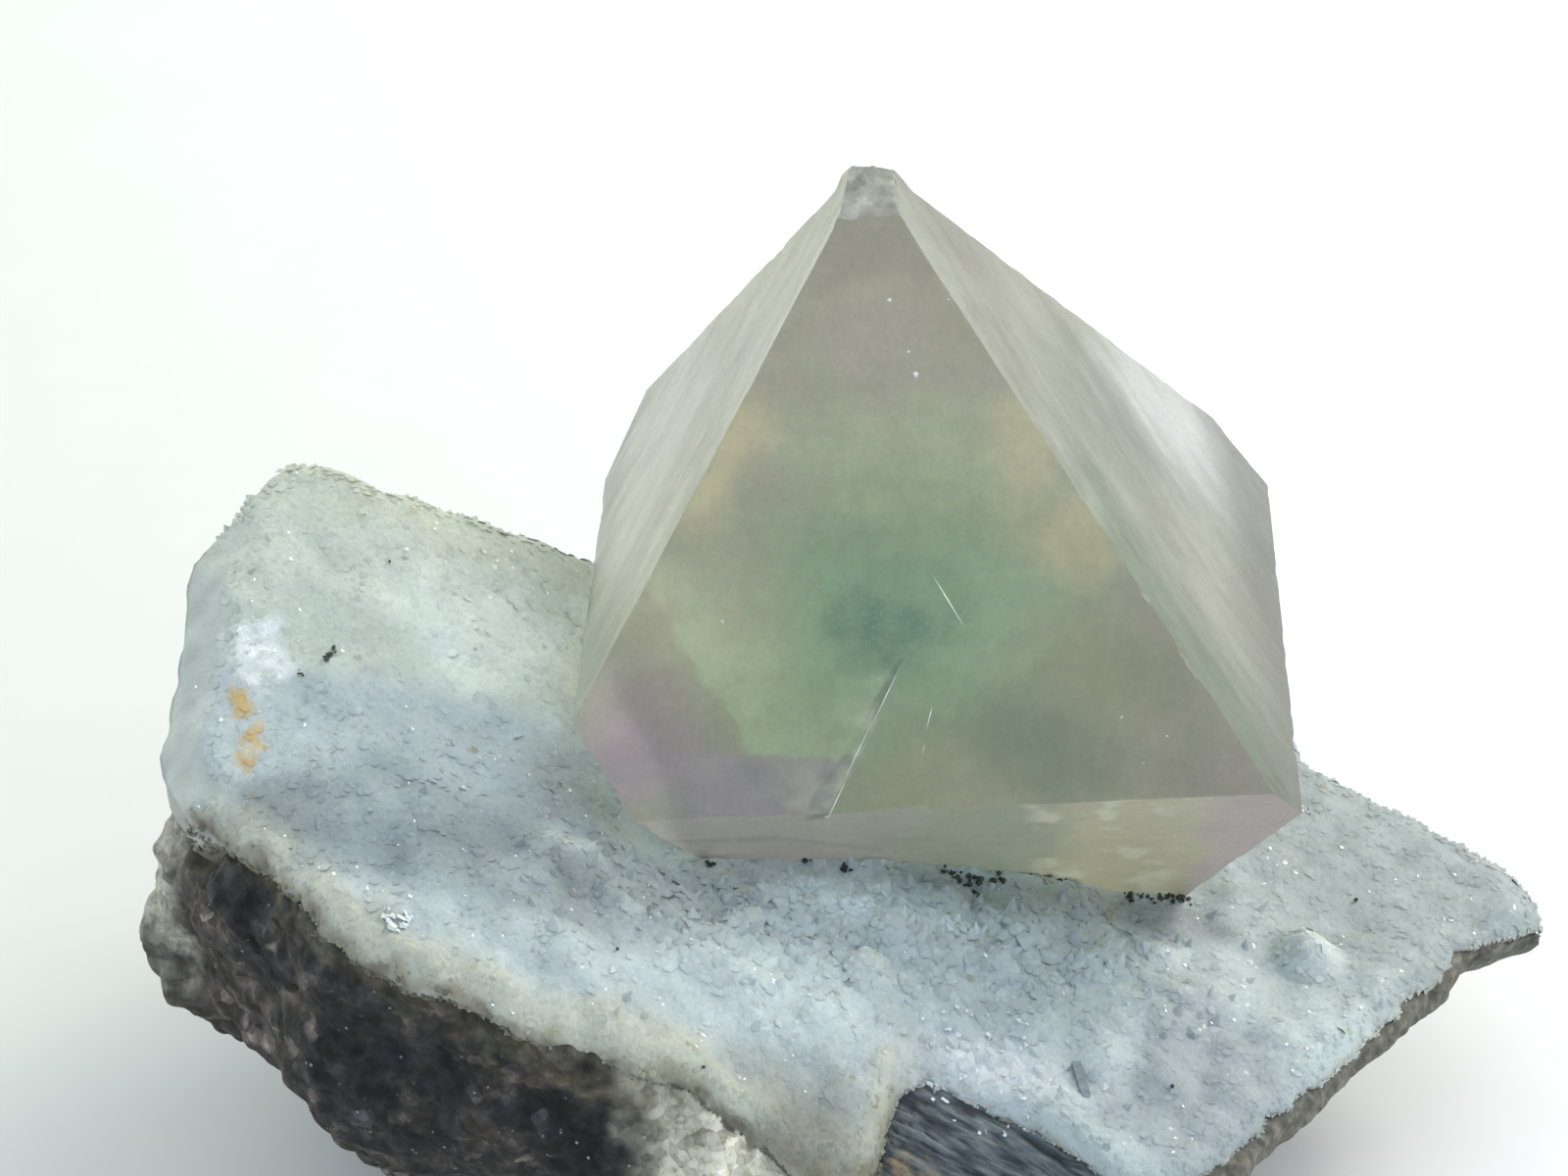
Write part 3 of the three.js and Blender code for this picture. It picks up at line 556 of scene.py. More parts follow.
def fine_polyhedron(normals, offsets, spacing, rng, own=None):
    """The same body with small triangles: vertices, triangles, plane of each triangle, and for each vertex its plane (-1 on an edge) and distance from the nearest edge."""
    corners, faces = polyhedron(normals, offsets)
    own = own or {}
    wide = spacing
    verts = [c for c in corners]
    plane_of = [-1] * len(corners)
    rows = {}
    for k, loop in sorted(faces, key=lambda f: own.get(f[0], spacing)):
        for a, b in zip(loop, np.roll(loop, -1)):
            key = (min(a, b), max(a, b))
            if key in rows:
                continue
            p, q = corners[key[0]], corners[key[1]]
            n = max(1, int(round(np.linalg.norm(q - p) / own.get(k, spacing))))
            ids = [key[0]]
            for s in range(1, n):
                ids.append(len(verts))
                verts.append(p + (q - p) * s / n)
                plane_of.append(-1)
            rows[key] = ids + [key[1]]
    tris, tri_plane = [], []
    edge_dist = {}
    for k, loop in faces:
        n = normals[k]
        spacing = own.get(k, wide)
        border = []
        for a, b in zip(loop, np.roll(loop, -1)):
            ids = rows[(min(a, b), max(a, b))]
            border += (ids if ids[0] == a else ids[::-1])[:-1]
        origin = corners[loop[0]]
        u = unit(corners[loop[1]] - origin)
        v = np.cross(n, u)
        flat = lambda p: np.stack([(p - origin) @ u, (p - origin) @ v], -1)
        poly = flat(corners[loop])
        lo, hi = poly.min(0), poly.max(0)
        gx, gy = np.meshgrid(np.arange(lo[0], hi[0], spacing), np.arange(lo[1], hi[1], spacing * 0.866))
        gx = gx + (np.arange(gx.shape[0])[:, None] % 2) * spacing * 0.5
        pts = np.stack([gx.ravel(), gy.ravel()], 1) + rng.uniform(-0.16, 0.16, (gx.size, 2)) * spacing
        d = np.full(len(pts), 1e9)
        for a, b in zip(poly, np.roll(poly, -1, 0)):
            e = unit(b - a)
            d = np.minimum(d, (pts - a) @ np.array([-e[1], e[0]]))
        keep = d > spacing * 0.55
        pts, d = pts[keep], d[keep]
        ids = list(border)
        for p, dist in zip(pts, d):
            edge_dist[len(verts)] = dist
            ids.append(len(verts))
            verts.append(origin + u * p[0] + v * p[1])
            plane_of.append(k)
        flat_pts = [Vector(flat(verts[i])) for i in ids]
        nb = len(border)
        out = delaunay_2d_cdt(flat_pts, [(i, (i + 1) % nb) for i in range(nb)], [], 1, 1e-7)
        back = [o[0] for o in out[3]]
        for t in out[2]:
            t = [ids[back[i]] for i in t]
            a, b, c = (verts[i] for i in t)
            if np.cross(b - a, c - a) @ n < 0:
                t = t[::-1]
            tris.append(t)
            tri_plane.append(k)
    dist = np.array([edge_dist.get(i, 0.0) for i in range(len(verts))])
    return np.array(verts), np.array(tris), np.array(tri_plane), np.array(plane_of), dist


def spot(p, centre, reach, seed, rough=0.35):
    """Soft uneven patch: 1 in the middle, 0 past its reach."""
    r = np.linalg.norm(p - np.array(centre), axis=1) / reach + rough * fbm(p, 2.4, 3, seed)
    return smooth((1.25 - r) / 0.9)


FACE_MIDDLE = np.array([3.3, -10.2, 5.4])
FACE_U = np.array([0.9959, -0.0902, 0.0])
FACE_V = np.array([0.0596, 0.6583, 0.7504])


def crack_side(u, v):
    """Distance from the crack on the front face, positive to its right, and how far down the crack, 0 to 1."""
    a, b = np.array([1.25, -1.2]), np.array([-1.38, -7.67])
    e = (b - a) / np.linalg.norm(b - a)
    return (u - a[0]) * -e[1] + (v - a[1]) * e[0], ((u - a[0]) * e[0] + (v - a[1]) * e[1]) / np.linalg.norm(b - a)


def front_shares(p):
    """Shares of the colour zones that show through the front face."""
    u, v = (p - FACE_MIDDLE) @ FACE_U, (p - FACE_MIDDLE) @ FACE_V
    q = np.stack([u, v, 0 * u], 1)
    w1, w2, w3 = fbm(q, 2.6, 4, 5), fbm(q, 1.3, 3, 6), fbm(q, 0.7, 3, 7)
    blob = lambda x, y, rx, ry, k=0.45: smooth(1.25 - np.hypot((u - x) / rx, (v - y) / ry) + k * w1 + 0.12 * w2)
    side, down = crack_side(u, v)
    left = (u + 7.66) * 0.8126 + (v + 0.33) * 0.583 + 0.25 * w2
    low = v + 5.06 + 0.05 * w3
    sharp = smooth(left / 0.35 + 0.5) * np.where(side < 0, smooth(low / 0.2 + 0.5), smooth((low + 0.9 * w1 + 0.3) / 1.6))
    heart = blob(0.9, 1.0, 8.2, 7.0) * sharp
    edge = np.exp(-((np.minimum(left, np.where(side < 0, low, 9.0)) / 1.5) ** 2)) * sharp * smooth((3.2 - v + 2 * w1) / 3) * smooth((2.5 - u) / 3)
    out = {}
    out["green"] = heart
    # the bright band along the green zone's sharp boundary: partly its colour, partly painted reflection from inside
    # the crystal
    out["yellow_reflection"] = np.clip(edge * (0.95 + 0.9 * w2) + 0.3 * blob(-4.8, -1.6, 2.6, 2.8) * sharp, 0, 1)
    out["teal"] = blob(0.5, 0.0, 3.4, 2.3) * (0.75 + 0.5 * np.clip(w2 * 2, -1, 1)) * sharp
    out["upper"] = blob(1.2, 6.2, 5.6, 3.0) * sharp
    out["tan"] = np.clip(blob(5.4, 7.4, 1.7, 2.2) + blob(7.8, 4.0, 1.5, 2.0) + blob(-5.5, 7.0, 1.6, 2.2) + blob(-6.6, 4.6, 1.3, 1.7) * 0.8 + blob(6.2, 4.4, 1.8, 1.8) * 0.6, 0, 1)
    out["mauve"] = blob(-8.7, -5.4, 3.0, 3.2) * (1 - sharp)
    out["pinkish"] = smooth((-low + 0.1) / 0.3) * smooth(-side / 0.1 + 0.5) * smooth((u + 8.5) / 3)
    out["olive"] = blob(6.2, -4.3, 4.1, 2.4) * smooth(side / 0.1 + 0.5)
    out["dim"] = blob(9.8, -0.9, 3.2, 2.4)
    out["corner"] = blob(13.6, -4.9, 3.0, 2.4)
    out["mist"] = blob(-0.2, 11.0, 1.9, 2.4)
    out["tip"] = smooth((v - 12.2 + w1) / 1.5)
    veil = smooth(-side / 0.12 + 0.3) * smooth((down + 0.02) / 0.1) * smooth((1.02 - down) / 0.08) * np.exp(-np.maximum(0, -side) / (0.25 + 1.0 * np.clip(down, 0, 1)))
    out["veil"] = np.clip(veil * (0.5 + 1.1 * w3), 0, 1)
    dark = smooth(side / 0.12 + 0.3) * np.exp(-np.maximum(0, side) / 0.5) * smooth((down - 0.05) / 0.2) * smooth((1.02 - down) / 0.05)
    out["shade"] = np.clip(dark, 0, 1)
    return out


FRONT_BASE = (0.40, 0.38, 0.285)
# the colour of the bright boundary band is partly painted reflection
FRONT_COLOURS = {
    "green": (0.28, 0.40, 0.245), "yellow_reflection": (0.50, 0.60, 0.39), "teal": (0.155, 0.25, 0.18), "upper": (0.435, 0.50, 0.295), "tan": (0.605, 0.535, 0.295),
    "mauve": (0.41, 0.285, 0.385), "pinkish": (0.40, 0.31, 0.41), "olive": (0.195, 0.25, 0.18), "dim": (0.295, 0.30, 0.20), "corner": (0.355, 0.315, 0.275),
    "mist": (0.43, 0.39, 0.325), "tip": (0.32, 0.30, 0.235), "veil": (1.0, 1.0, 0.88), "shade": (0.36, 0.41, 0.31),
}


def front_tint(p):
    shares = front_shares(p)
    col = np.tile(np.array(FRONT_BASE), (len(p), 1))
    for name, c in FRONT_COLOURS.items():
        col = mixed(col, c, shares[name])
    # cloudy mottling, strongest in the green
    col = col * (1 + 0.16 * fbm(p, 1.1, 4, 31, 0.6) + 0.14 * shares["green"] * fbm(p, 0.55, 2, 32))[:, None]
    return np.clip(col, 0.02, 1.0)


def crystal_marks(name, n, p):
    """On one plane: tint, marks (specks, growth lines) and the run along and across its growth lines."""
    front = PLANE_N[0]
    e = np.cross(n, front)
    e = unit(e) if np.linalg.norm(e) > 0.05 else FACE_U
    t = np.cross(n, e)
    run = np.stack([p @ e / 1.5, p @ t / 0.24, np.full(len(p), 3.0 * PLANE_NAMES.index(name))], 1)
    mark = np.zeros((len(p), 3))
    tint = np.tile(np.array([0.86, 0.835, 0.79]), (len(p), 1))
    if name == "F":
        tint = front_tint(p)
        u, v = (p - FACE_MIDDLE) @ FACE_U, (p - FACE_MIDDLE) @ FACE_V
        mark[:, 0] = smooth(1.3 - np.hypot((u - 0.9) / 6.0, (v - 1.2) / 5.0)) * 0.8
    elif name in ("L", "R"):
        near = PLANE_D[0] - p @ front
        if name == "L":
            tint = mixed(np.tile(np.array([0.80, 0.80, 0.67]), (len(p), 1)), (0.54, 0.58, 0.52), smooth((8.0 - p[:, 2]) / 6))
            tint = mixed(tint, (0.90, 0.92, 0.80), smooth((near - 3.5) / 4) * smooth((10.0 - p[:, 2]) / 4) * smooth((p[:, 2] - 1.0) / 3))
        else:
            tint = np.tile(np.array([0.58, 0.565, 0.46]), (len(p), 1))
            tint = mixed(tint, (0.45, 0.42, 0.36), smooth((p[:, 2] - 9.5) / 4))
            tint = mixed(tint, (0.23, 0.30, 0.205), smooth((6.8 - near) / 5) * smooth((11.0 - p[:, 2]) / 3))
        mark[:, 1] = (0.25 + 0.75 * smooth((5.0 - near) / 4.0)) * smooth(0.5 + 1.6 * fbm(p, 2.6, 2, 27))
        if name == "R":
            # painted highlight: broad white glare on the face by its back right corner
            tint = mixed(tint, (0.98, 0.98, 0.93), spot(p, (16.6, 8.4, 1.6), 6.6, 26))
            tint = mixed(tint, (0.25, 0.235, 0.205), smooth((2.5 - p[:, 2]) / 4) * 0.9)
        tint = tint * (1 + 0.32 * fbm(np.stack([p @ e / 2.4, p @ t / 0.8, np.full(len(p), 0.5)], 1), 1.0, 3, 33))[:, None]
        if name == "R":
            tint = tint * (1 - 0.26 * smooth((near - 4.0) / 2.5) * smooth((13.0 - near) / 2.5) * smooth((p[:, 2] - 2.8) / 2.5) * smooth((11.5 - p[:, 2]) / 3))[:, None]
            tint = mixed(tint, (0.62, 0.63, 0.55), smooth((2.6 - near) / 2.0) * smooth((p[:, 2] - 7.0) / 3) * smooth(0.4 + 1.8 * fbm(p, 1.5, 3, 34)) * 0.7)
        # painted highlight: light band along the edge with the front face, high up
        tint = mixed(tint, tint[0] * 1.3, smooth((0.55 - near) / 0.2) * smooth((p[:, 2] - 9) / 4) * 0.9)
    elif name == "f":
        x = p[:, 0] + 1.2 * fbm(p, 1.6, 3, 28)
        tint = mixed(np.tile(np.array([0.45, 0.375, 0.41]), (len(p), 1)), (0.31, 0.345, 0.285), smooth((x - 2) / 4))
        tint = mixed(tint, (0.56, 0.52, 0.34), smooth((x - 9) / 3))
        tint = mixed(tint, (0.85, 0.84, 0.66), smooth((x - 8.5) / 2) * smooth((15.5 - x) / 2) * smooth((fbm(p, 1.1, 3, 29) - 0.12) / 0.25) * 0.7)
        tint = mixed(tint, (0.50, 0.40, 0.41), smooth((x - 15.0) / 1.5))
        d = np.minimum.reduce([np.linalg.norm(np.cross(p - a, unit(b - a)), axis=1) + 9 * (((p - a) @ unit(b - a) < 0) | ((p - b) @ unit(b - a) > 0)) for a, b in ((np.array([-5.29, -13.67, -2.18]), np.array([0.0, -13.75, -1.89])), (np.array([0.0, -13.75, -1.89]), np.array([3.72, -13.05, -3.04])))])
        tint = 1.12 * tint * (1 - 0.3 * smooth((0.22 - d) / 0.16))[:, None]
        mark[:, 1] = 0.2
    elif name == "B":
        # painted highlight: white glare by the back right corner
        tint = mixed(tint, (1.0, 1.0, 0.98), spot(p, (17.0, 9.6, 0.8), 7.5, 35))
    elif name in ("apex", "chip"):
        # broken grey tone; the brightest facets are lifted further as painted glints
        broken = np.clip(facets(p, 0.55, 23) + 0.7 * fbm(p, 0.3, 2, 30), -1, 1)
        tint = np.array([0.46, 0.45, 0.44]) * (1 + 0.55 * broken + 0.5 * np.maximum(0, broken - 0.45))[:, None]
    return np.clip(tint, 0, 1), mark, run


def build_crystal():
    own = {PLANE_NAMES.index(n): d for n, d in (("apex", 0.12), ("chip", 0.12), ("F", 0.2), ("L", 0.3), ("R", 0.3), ("f", 0.25))}
    verts, tris, tri_plane, plane_of, dist = fine_polyhedron(PLANE_N, PLANE_D, 0.5, RNG, own)
    place = verts.copy()
    index = {n: i for i, n in enumerate(PLANE_NAMES)}
    front = PLANE_N[index["F"]]
    apex_y = np.percentile(verts[(plane_of == index["apex"]) | (plane_of == index["chip"]), 1], [5, 95])
    for k in range(len(PLANE_N)):
        on = plane_of == k
        if not on.any():
            continue
        p, n = verts[on], PLANE_N[k]
        name = PLANE_NAMES[k]
        fade = smooth(dist[on] / (0.2 if name in ("apex", "chip") else 0.7))
        if name == "F":
            d = 0.02 * fbm(p, 2.2, 3, 11)
        elif name in ("apex", "chip"):
            bow = p @ unit(np.array([0.2, 0.9, 0.2])) + 0.5 * noise(p, 1.2, 24)
            d = 0.16 * fbm(p, 1.1, 3, 12) + 0.10 * facets(p, 0.6, 13) + 0.05 * np.sin(5.5 * bow) + 0.05 + 0.26 * smooth((p[:, 1] - apex_y[0]) / (apex_y[1] - apex_y[0]))
        elif name in ("BR", "BL", "foot"):
            d = 0.1 * fbm(p, 0.9, 3, 14)
        else:
            e = unit(np.cross(n, front))
            t = np.cross(n, e)
            q = np.stack([p @ e / 6.0, p @ t / 1.2, np.full(len(p), 0.5)], 1)
            d = 0.03 * noise(q, 1.0, 16) + 0.05 * fbm(p, 3.5, 2, 18)
            dash = noise(np.stack([p @ e / 2.2, p @ t / 0.42, np.full(len(p), 2.5 + k)], 1), 1.0, 17)
            d = d + 0.045 * smooth((dash - 0.25) / 0.2) * smooth((8 - (PLANE_D[0] - p @ front)) / 6)
        verts[on] = p + n * (d * fade)[:, None]
    # worn, finely chipped edges
    edge = plane_of == -1
    p = verts[edge]
    chip = 0.04 + 0.10 * np.maximum(0, fbm(p, 1.1, 3, 21)) + 0.5 * np.maximum(0, noise(p, 2.4, 22) - 0.62)
    top = smooth((p[:, 2] - 16.2) / 0.8)
    rear = smooth((p[:, 1] - apex_y[0]) / (apex_y[1] - apex_y[0]))
    chip = chip * (1 - top) + top * (0.10 * fbm(p, 0.5, 2, 25) - 0.02 - 0.26 * rear)
    verts[edge] = p - unit(p - CRYSTAL_CENTRE) * chip[:, None]
    tint, mark, run = (np.zeros((tris.size, 3)) for _ in range(3))
    for k, name in enumerate(PLANE_NAMES):
        on = np.repeat(tri_plane == k, 3)
        if on.any():
            tint[on], mark[on], run[on] = crystal_marks(name, PLANE_N[k], place[tris.ravel()[on]])
    ob = new_object("fluorite_octahedron", verts, tris, crystal_material(), None, smooth_faces=True, corner={"tint": tint, "mark": mark, "run": run})
    ob.data.set_sharp_from_angle(angle=math.radians(25))
    print("crystal triangles", len(tris))
    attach(ob, "root")
    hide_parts("fluorite_crystal")
    return ob


def cloud(name, u, v, depth, reach, thick, material, seed):
    """A colour zone sealed behind the front face: thick in the middle, thinning to nothing at its uneven border."""
    n = PLANE_N[0]
    a = -np.linspace(0, 2 * math.pi, 84, endpoint=False)
    circle = np.column_stack([np.cos(a), np.sin(a), np.full(len(a), seed)])
    border = 1 + 0.22 * noise(circle * 1.6, 1.0, seed) + 0.10 * noise(circle * 4.5, 1.0, seed + 1)
    middle = FACE_MIDDLE + FACE_U * u + FACE_V * v - n * depth
    rings = []
    steps = np.r_[np.linspace(0.05, 0.95, 14), 1.0]
    for side, radii in ((1, steps), (-1, steps[-2::-1])):
        for r in radii:
            p = middle + np.outer(np.cos(a) * border * reach[0] * r, FACE_U) + np.outer(np.sin(a) * border * reach[1] * r, FACE_V)
            rings.append(p + n * (side * 0.5 * thick * (1 - r * r) ** 1.6 * (1 + 0.3 * fbm(p, 2.6, 2, seed + 2)))[:, None])
    verts, tris = ring_skin(middle + n * thick * 0.5, rings, middle - n * thick * 0.5)
    # stays inside the crystal
    for q, off in zip(PLANE_N, PLANE_D):
        verts -= np.maximum(0, verts @ q - (off - 0.6))[:, None] * q
    ob = new_object(name, verts, tris, material, None, smooth_faces=True)
    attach(ob, "root")
    return ob


def slab(points, thick):
    """Closed thin sheet over an outline of points."""
    pts = np.array(points, float)
    n = unit(np.cross(pts[1] - pts[0], pts[2] - pts[0]))
    m = len(pts)
    verts = np.vstack([pts + n * thick / 2, pts - n * thick / 2, pts.mean(0) + n * thick / 2, pts.mean(0) - n * thick / 2])
    tris = []
    for i in range(m):
        j = (i + 1) % m
        tris += [[2 * m, i, j], [2 * m + 1, m + j, m + i], [i, m + i, m + j], [i, m + j, j]]
    return verts, np.array(tris)


def flake(centre, normal, size, rng, sides=7, thick=0.06, stretch=1.0, axis=None):
    """A small irregular closed flake, flat across its normal."""
    n = unit(normal)
    u = unit(np.cross(n, axis if axis is not None else rng.normal(size=3)))
    v = np.cross(n, u)
    a = np.sort(rng.uniform(0, 2 * math.pi, sides)) if stretch == 1.0 else np.linspace(0, 2 * math.pi, sides, endpoint=False)
    r = size * rng.uniform(0.55, 1.0, sides)
    pts = centre + np.outer(r * np.cos(a), u) + np.outer(r * np.sin(a) * stretch, v) + n * (rng.normal(size=(sides, 1)) * thick * 0.3)
    top = np.vstack([pts, centre + n * thick])
    verts = np.vstack([top, centre - n * thick])
    tris = []
    for i in range(sides):
        j = (i + 1) % sides
        tris += [[sides, i, j], [sides + 1, j, i]]
    return verts, np.array(tris)


def joined(parts):
    verts, tris, at = [], [], 0
    for v, t in parts:
        verts.append(v)
        tris.append(t + at)
        at += len(v)
    return np.vstack(verts), np.vstack(tris)


def build_inclusions():
    rng = np.random.default_rng(77)
    n = PLANE_N[0]
    deep = -n
    # fracture veil that runs down to the lower front edge
    a, b = np.array([4.48, -11.09, 4.5]) + deep * 0.08, np.array([1.65, -14.85, -0.05]) + deep * 0.1
    sheet = []
    steps = 9
    for s in range(steps):
        t = s / (steps - 1)
        sheet.append(a + (b - a) * t)
    side = unit(np.array([-0.9, 0.35, -0.3]) + deep * 0.35)
    for s in reversed(range(steps)):
        t = s / (steps - 1)
        sheet.append(a + (b - a) * t + side * (0.2 + 1.0 * t * (1 + 0.25 * math.sin(9 * t))))
    veil = new_object("fracture_veil", *slab(sheet, 0.05), plain_mineral("veil", [(0.35, (0.72, 0.76, 0.68)), (0.65, (0.9, 0.93, 0.86))], 0.5, 0.35, 0.6, 1.3))
    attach(veil, "root")
    parts = []
    # needle and white specks just under the front face
    s1, s2 = np.array([5.51, -8.97, 7.0]), np.array([6.82, -10.49, 5.42])
    mid, axis = (s1 + s2) / 2, unit(s2 - s1)
    wide = np.cross(n, axis)
    half = np.linalg.norm(s2 - s1) / 2
    sliver = np.array([[0, 3, 4], [3, 2, 4], [2, 1, 4], [1, 0, 4], [3, 0, 5], [2, 3, 5], [1, 2, 5], [0, 1, 5]])
    on_face = lambda q: q - n * (q @ n - PLANE_D[0])
    c = on_face(mid) + n * 0.01
    parts.append((np.array([c - axis * half, c + wide * 0.03, c + axis * half, c - wide * 0.03, c + n * 0.02, c - n * 0.04]), sliver))
    # edge of the fracture, in three pieces
    top, low = FACE_MIDDLE + FACE_U * 1.25 + FACE_V * -1.2, FACE_MIDDLE + FACE_U * -1.38 + FACE_V * -7.6
    for t0, t1, off in ((0.0, 0.42, 0.0), (0.38, 0.74, -0.05), (0.7, 1.0, 0.02)):
        s1, s2 = top + (low - top) * t0 + FACE_U * off, top + (low - top) * t1 + FACE_U * off
        mid, axis = on_face((s1 + s2) / 2) + n * 0.004, unit(s2 - s1)
        half, wide = np.linalg.norm(s2 - s1) / 2, np.cross(n, axis)
        parts.append((np.array([mid - axis * half, mid + wide * 0.02, mid + axis * half, mid - wide * 0.02, mid + n * 0.008, mid - n * 0.04]), sliver))
    # short pale streaks to the right of the fracture
    for q1, q2, w in (((5.62, -12.1, 3.45), (5.30, -12.95, 2.5), 0.022), ((5.28, -13.15, 2.3), (5.16, -13.55, 1.85), 0.025)):
        s1, s2 = np.array(q1), np.array(q2)
        mid, axis = on_face((s1 + s2) / 2) + n * 0.004, unit(s2 - s1)
        half, wide = np.linalg.norm(s2 - s1) / 2, np.cross(n, axis)
        parts.append((np.array([mid - axis * half, mid + wide * w, mid + axis * half, mid - wide * w, mid + n * 0.008, mid - n * 0.04]), sliver))
    for p, size in (((3.96, -2.03, 14.7), 0.16), ((4.69, -3.38, 13.24), 0.14), ((4.98, -3.97, 12.61), 0.2), ((6.21, -2.16, 14.78), 0.12),
                    ((-2.25, -9.79, 5.28), 0.22), ((-4.25, -6.85, 8.4), 0.13), ((12.6, -13.0, 3.2), 0.1), ((14.3, -13.4, 2.6), 0.1), ((13.4, -14.1, 1.9), 0.08)):
        parts.append(flake(on_face(np.array(p)) + n * 0.005, n + rng.normal(size=3) * 0.1, size * 0.7, rng, 7, 0.03))
    specks = new_object("pale_inclusions", *joined(parts), plain_mineral("pale_inclusion", [(0.35, (0.78, 0.8, 0.72)), (0.65, (0.95, 0.96, 0.9))], 0.3, 0.3))
    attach(specks, "root")


# ---- crust --------------------------------------------------------------------------------------------------


def thin_plate():
    p = CRUST_HEIGHTS
    n = len(p)
    kernel = lambda r2: np.where(r2 > 1e-12, 0.5 * r2 * np.log(np.maximum(r2, 1e-12)), 0.0)
    d2 = ((p[:, None, :2] - p[None, :, :2]) ** 2).sum(2)
    m = np.zeros((n + 3, n + 3))
    m[:n, :n] = kernel(d2) + CRUST_SMOOTHING * np.eye(n)
    m[:n, n] = 1
    m[:n, n + 1 :] = p[:, :2]
    m[n:, :n] = m[:n, n:].T
    w = np.linalg.solve(m, np.r_[p[:, 2], 0, 0, 0])

    def height(xy):
        r2 = ((xy[:, None, :] - p[None, :, :2]) ** 2).sum(2)
        return kernel(r2) @ w[:n] + w[n] + xy @ w[n + 1 :]

    return height


SHEET = thin_plate()


def resampled_rim(count, front=1.0):
    """The rim with points at even steps along it, or closer by a factor at the front and left."""
    closed = np.vstack([RIM, RIM[:1]])
    s = np.r_[0, np.cumsum(np.linalg.norm(np.diff(closed[:, :2], axis=0), axis=1))]
    at = np.linspace(0, s[-1], count, endpoint=False)
    if front != 1.0:
        fine = np.linspace(0, s[-1], 6000)
        x, y = np.interp(fine, s, closed[:, 0]), np.interp(fine, s, closed[:, 1])
        dense = 1 + (front - 1) * np.maximum(smooth((-10 - y) / 4), smooth((-18 - x) / 3) * smooth((-4 - y) / 4))
        total = np.r_[0, np.cumsum(0.5 * (dense[1:] + dense[:-1]))]
        at = np.interp(np.linspace(0, total[-1], count, endpoint=False), total, fine)
    return np.stack([np.interp(at, s, closed[:, k]) for k in range(closed.shape[1])], 1)


RIM_FINE = resampled_rim(2400)
_a = np.arctan2(RIM_FINE[:, 1] - CRUST_CENTRE[1], RIM_FINE[:, 0] - CRUST_CENTRE[0])
_o = np.argsort(_a)
RIM_ANGLE, RIM_RADIUS, RIM_THICK = _a[_o], np.hypot(*(RIM_FINE[_o, :2] - CRUST_CENTRE).T), RIM_FINE[_o, 2]


def rim_distance(xy):
    """Distance to the rim along the ray from the middle, negative outside, and the crust's thickness there."""
    rel = xy - CRUST_CENTRE
    ang = np.arctan2(rel[:, 1], rel[:, 0])
    radius = np.interp(ang, RIM_ANGLE, RIM_RADIUS, period=2 * math.pi)
    return radius - np.hypot(rel[:, 0], rel[:, 1]), np.interp(ang, RIM_ANGLE, RIM_THICK, period=2 * math.pi)


KNOBS = (((20.4, -12.2), 1.4, 1.35), ((3.22, -18.3), 1.0, 0.95), ((-22.4, -7.5), 0.9, 0.35), ((-8.5, -16.2), 1.2, 0.5))


def flat3(xy, z=0.5):
    return np.column_stack([xy, np.full(len(xy), z)])


def front_growth(xy):
    """Where the coarser, jagged druse stands in front of the crystal."""
    return np.exp(-(((xy[:, 0] - 3.5) / 11.5) ** 4)) * np.exp(-(((xy[:, 1] + 16.4 - 0.12 * (xy[:, 0] - 3.5)) / 2.6) ** 2))


def crust_relief(xy):
    """Billows of the druse over the smooth sheet."""
    q = flat3(xy)
    big = 0.32 * fbm(q, 4.2, 2, 41)
    warp = xy + 0.35 * np.stack([noise(q, 0.9, 42), noise(q, 0.9, 43)], 1)
    f1, _, which = cells(flat3(warp), 1.9, 44)
    mid = (0.34 + 0.16 * which) * np.maximum(0, 1 - (f1 / 0.75) ** 2)
    g1, _, w2 = cells(flat3(warp, 9.5), 0.95, 45)
    small = (0.13 + 0.07 * w2) * np.maximum(0, 1 - (g1 / 0.75) ** 2)
    out = big + (mid + small) * (1 - 0.4 * smooth((xy[:, 1] + 9.8) / 2.0) * smooth((-6 - xy[:, 0]) / 2))
    coarse = front_growth(xy)
    h1, _, w3 = cells(flat3(warp, 19.5), 1.35, 46)
    out = out + coarse * (0.55 + 0.4 * w3) * np.maximum(0, 1 - (h1 / 0.7) ** 1.4)
    for c, r, a in KNOBS:
        d2 = ((xy - np.array(c)) ** 2).sum(1) / r**2
        out = out + a * np.maximum(0, 1 - d2)
    return out


def left_break(xy, d):
    """1 on the bare broken face at the left end."""
    along = smooth((-19.5 - xy[:, 0]) / 1.0) * smooth((xy[:, 1] + 15.5) / 1.5) * smooth((-2.6 - xy[:, 1]) / 2.0)
    return along * smooth((1.9 + 0.5 * noise(flat3(xy, 5.5), 1.3, 47) - d) / 0.9)


def crust_top(xy):
    """The druse's upper surface, rounded over at the rim and broken off at its left end."""
    d, thick = rim_distance(xy)
    bare = left_break(xy, d)
    u = np.clip(1 - d / 1.1, 0, 1)
    z = SHEET(xy) - 0.2 + crust_relief(xy) * (1 - 0.45 * u) * (1 - 0.8 * bare)
    corner = np.exp(-((xy[:, 0] + 19.6) / 2.2) ** 2 - ((xy[:, 1] + 1.2) / 2.2) ** 2)
    round_over = 0.42 * thick * (1 - np.sqrt(np.maximum(0, 1 - u * u))) * (1 - 0.75 * corner)
    slope = 0.42 * thick * np.clip(1 - d / 1.75, 0, 1) ** 1.2
    return z - round_over * (1 - bare) - slope * bare


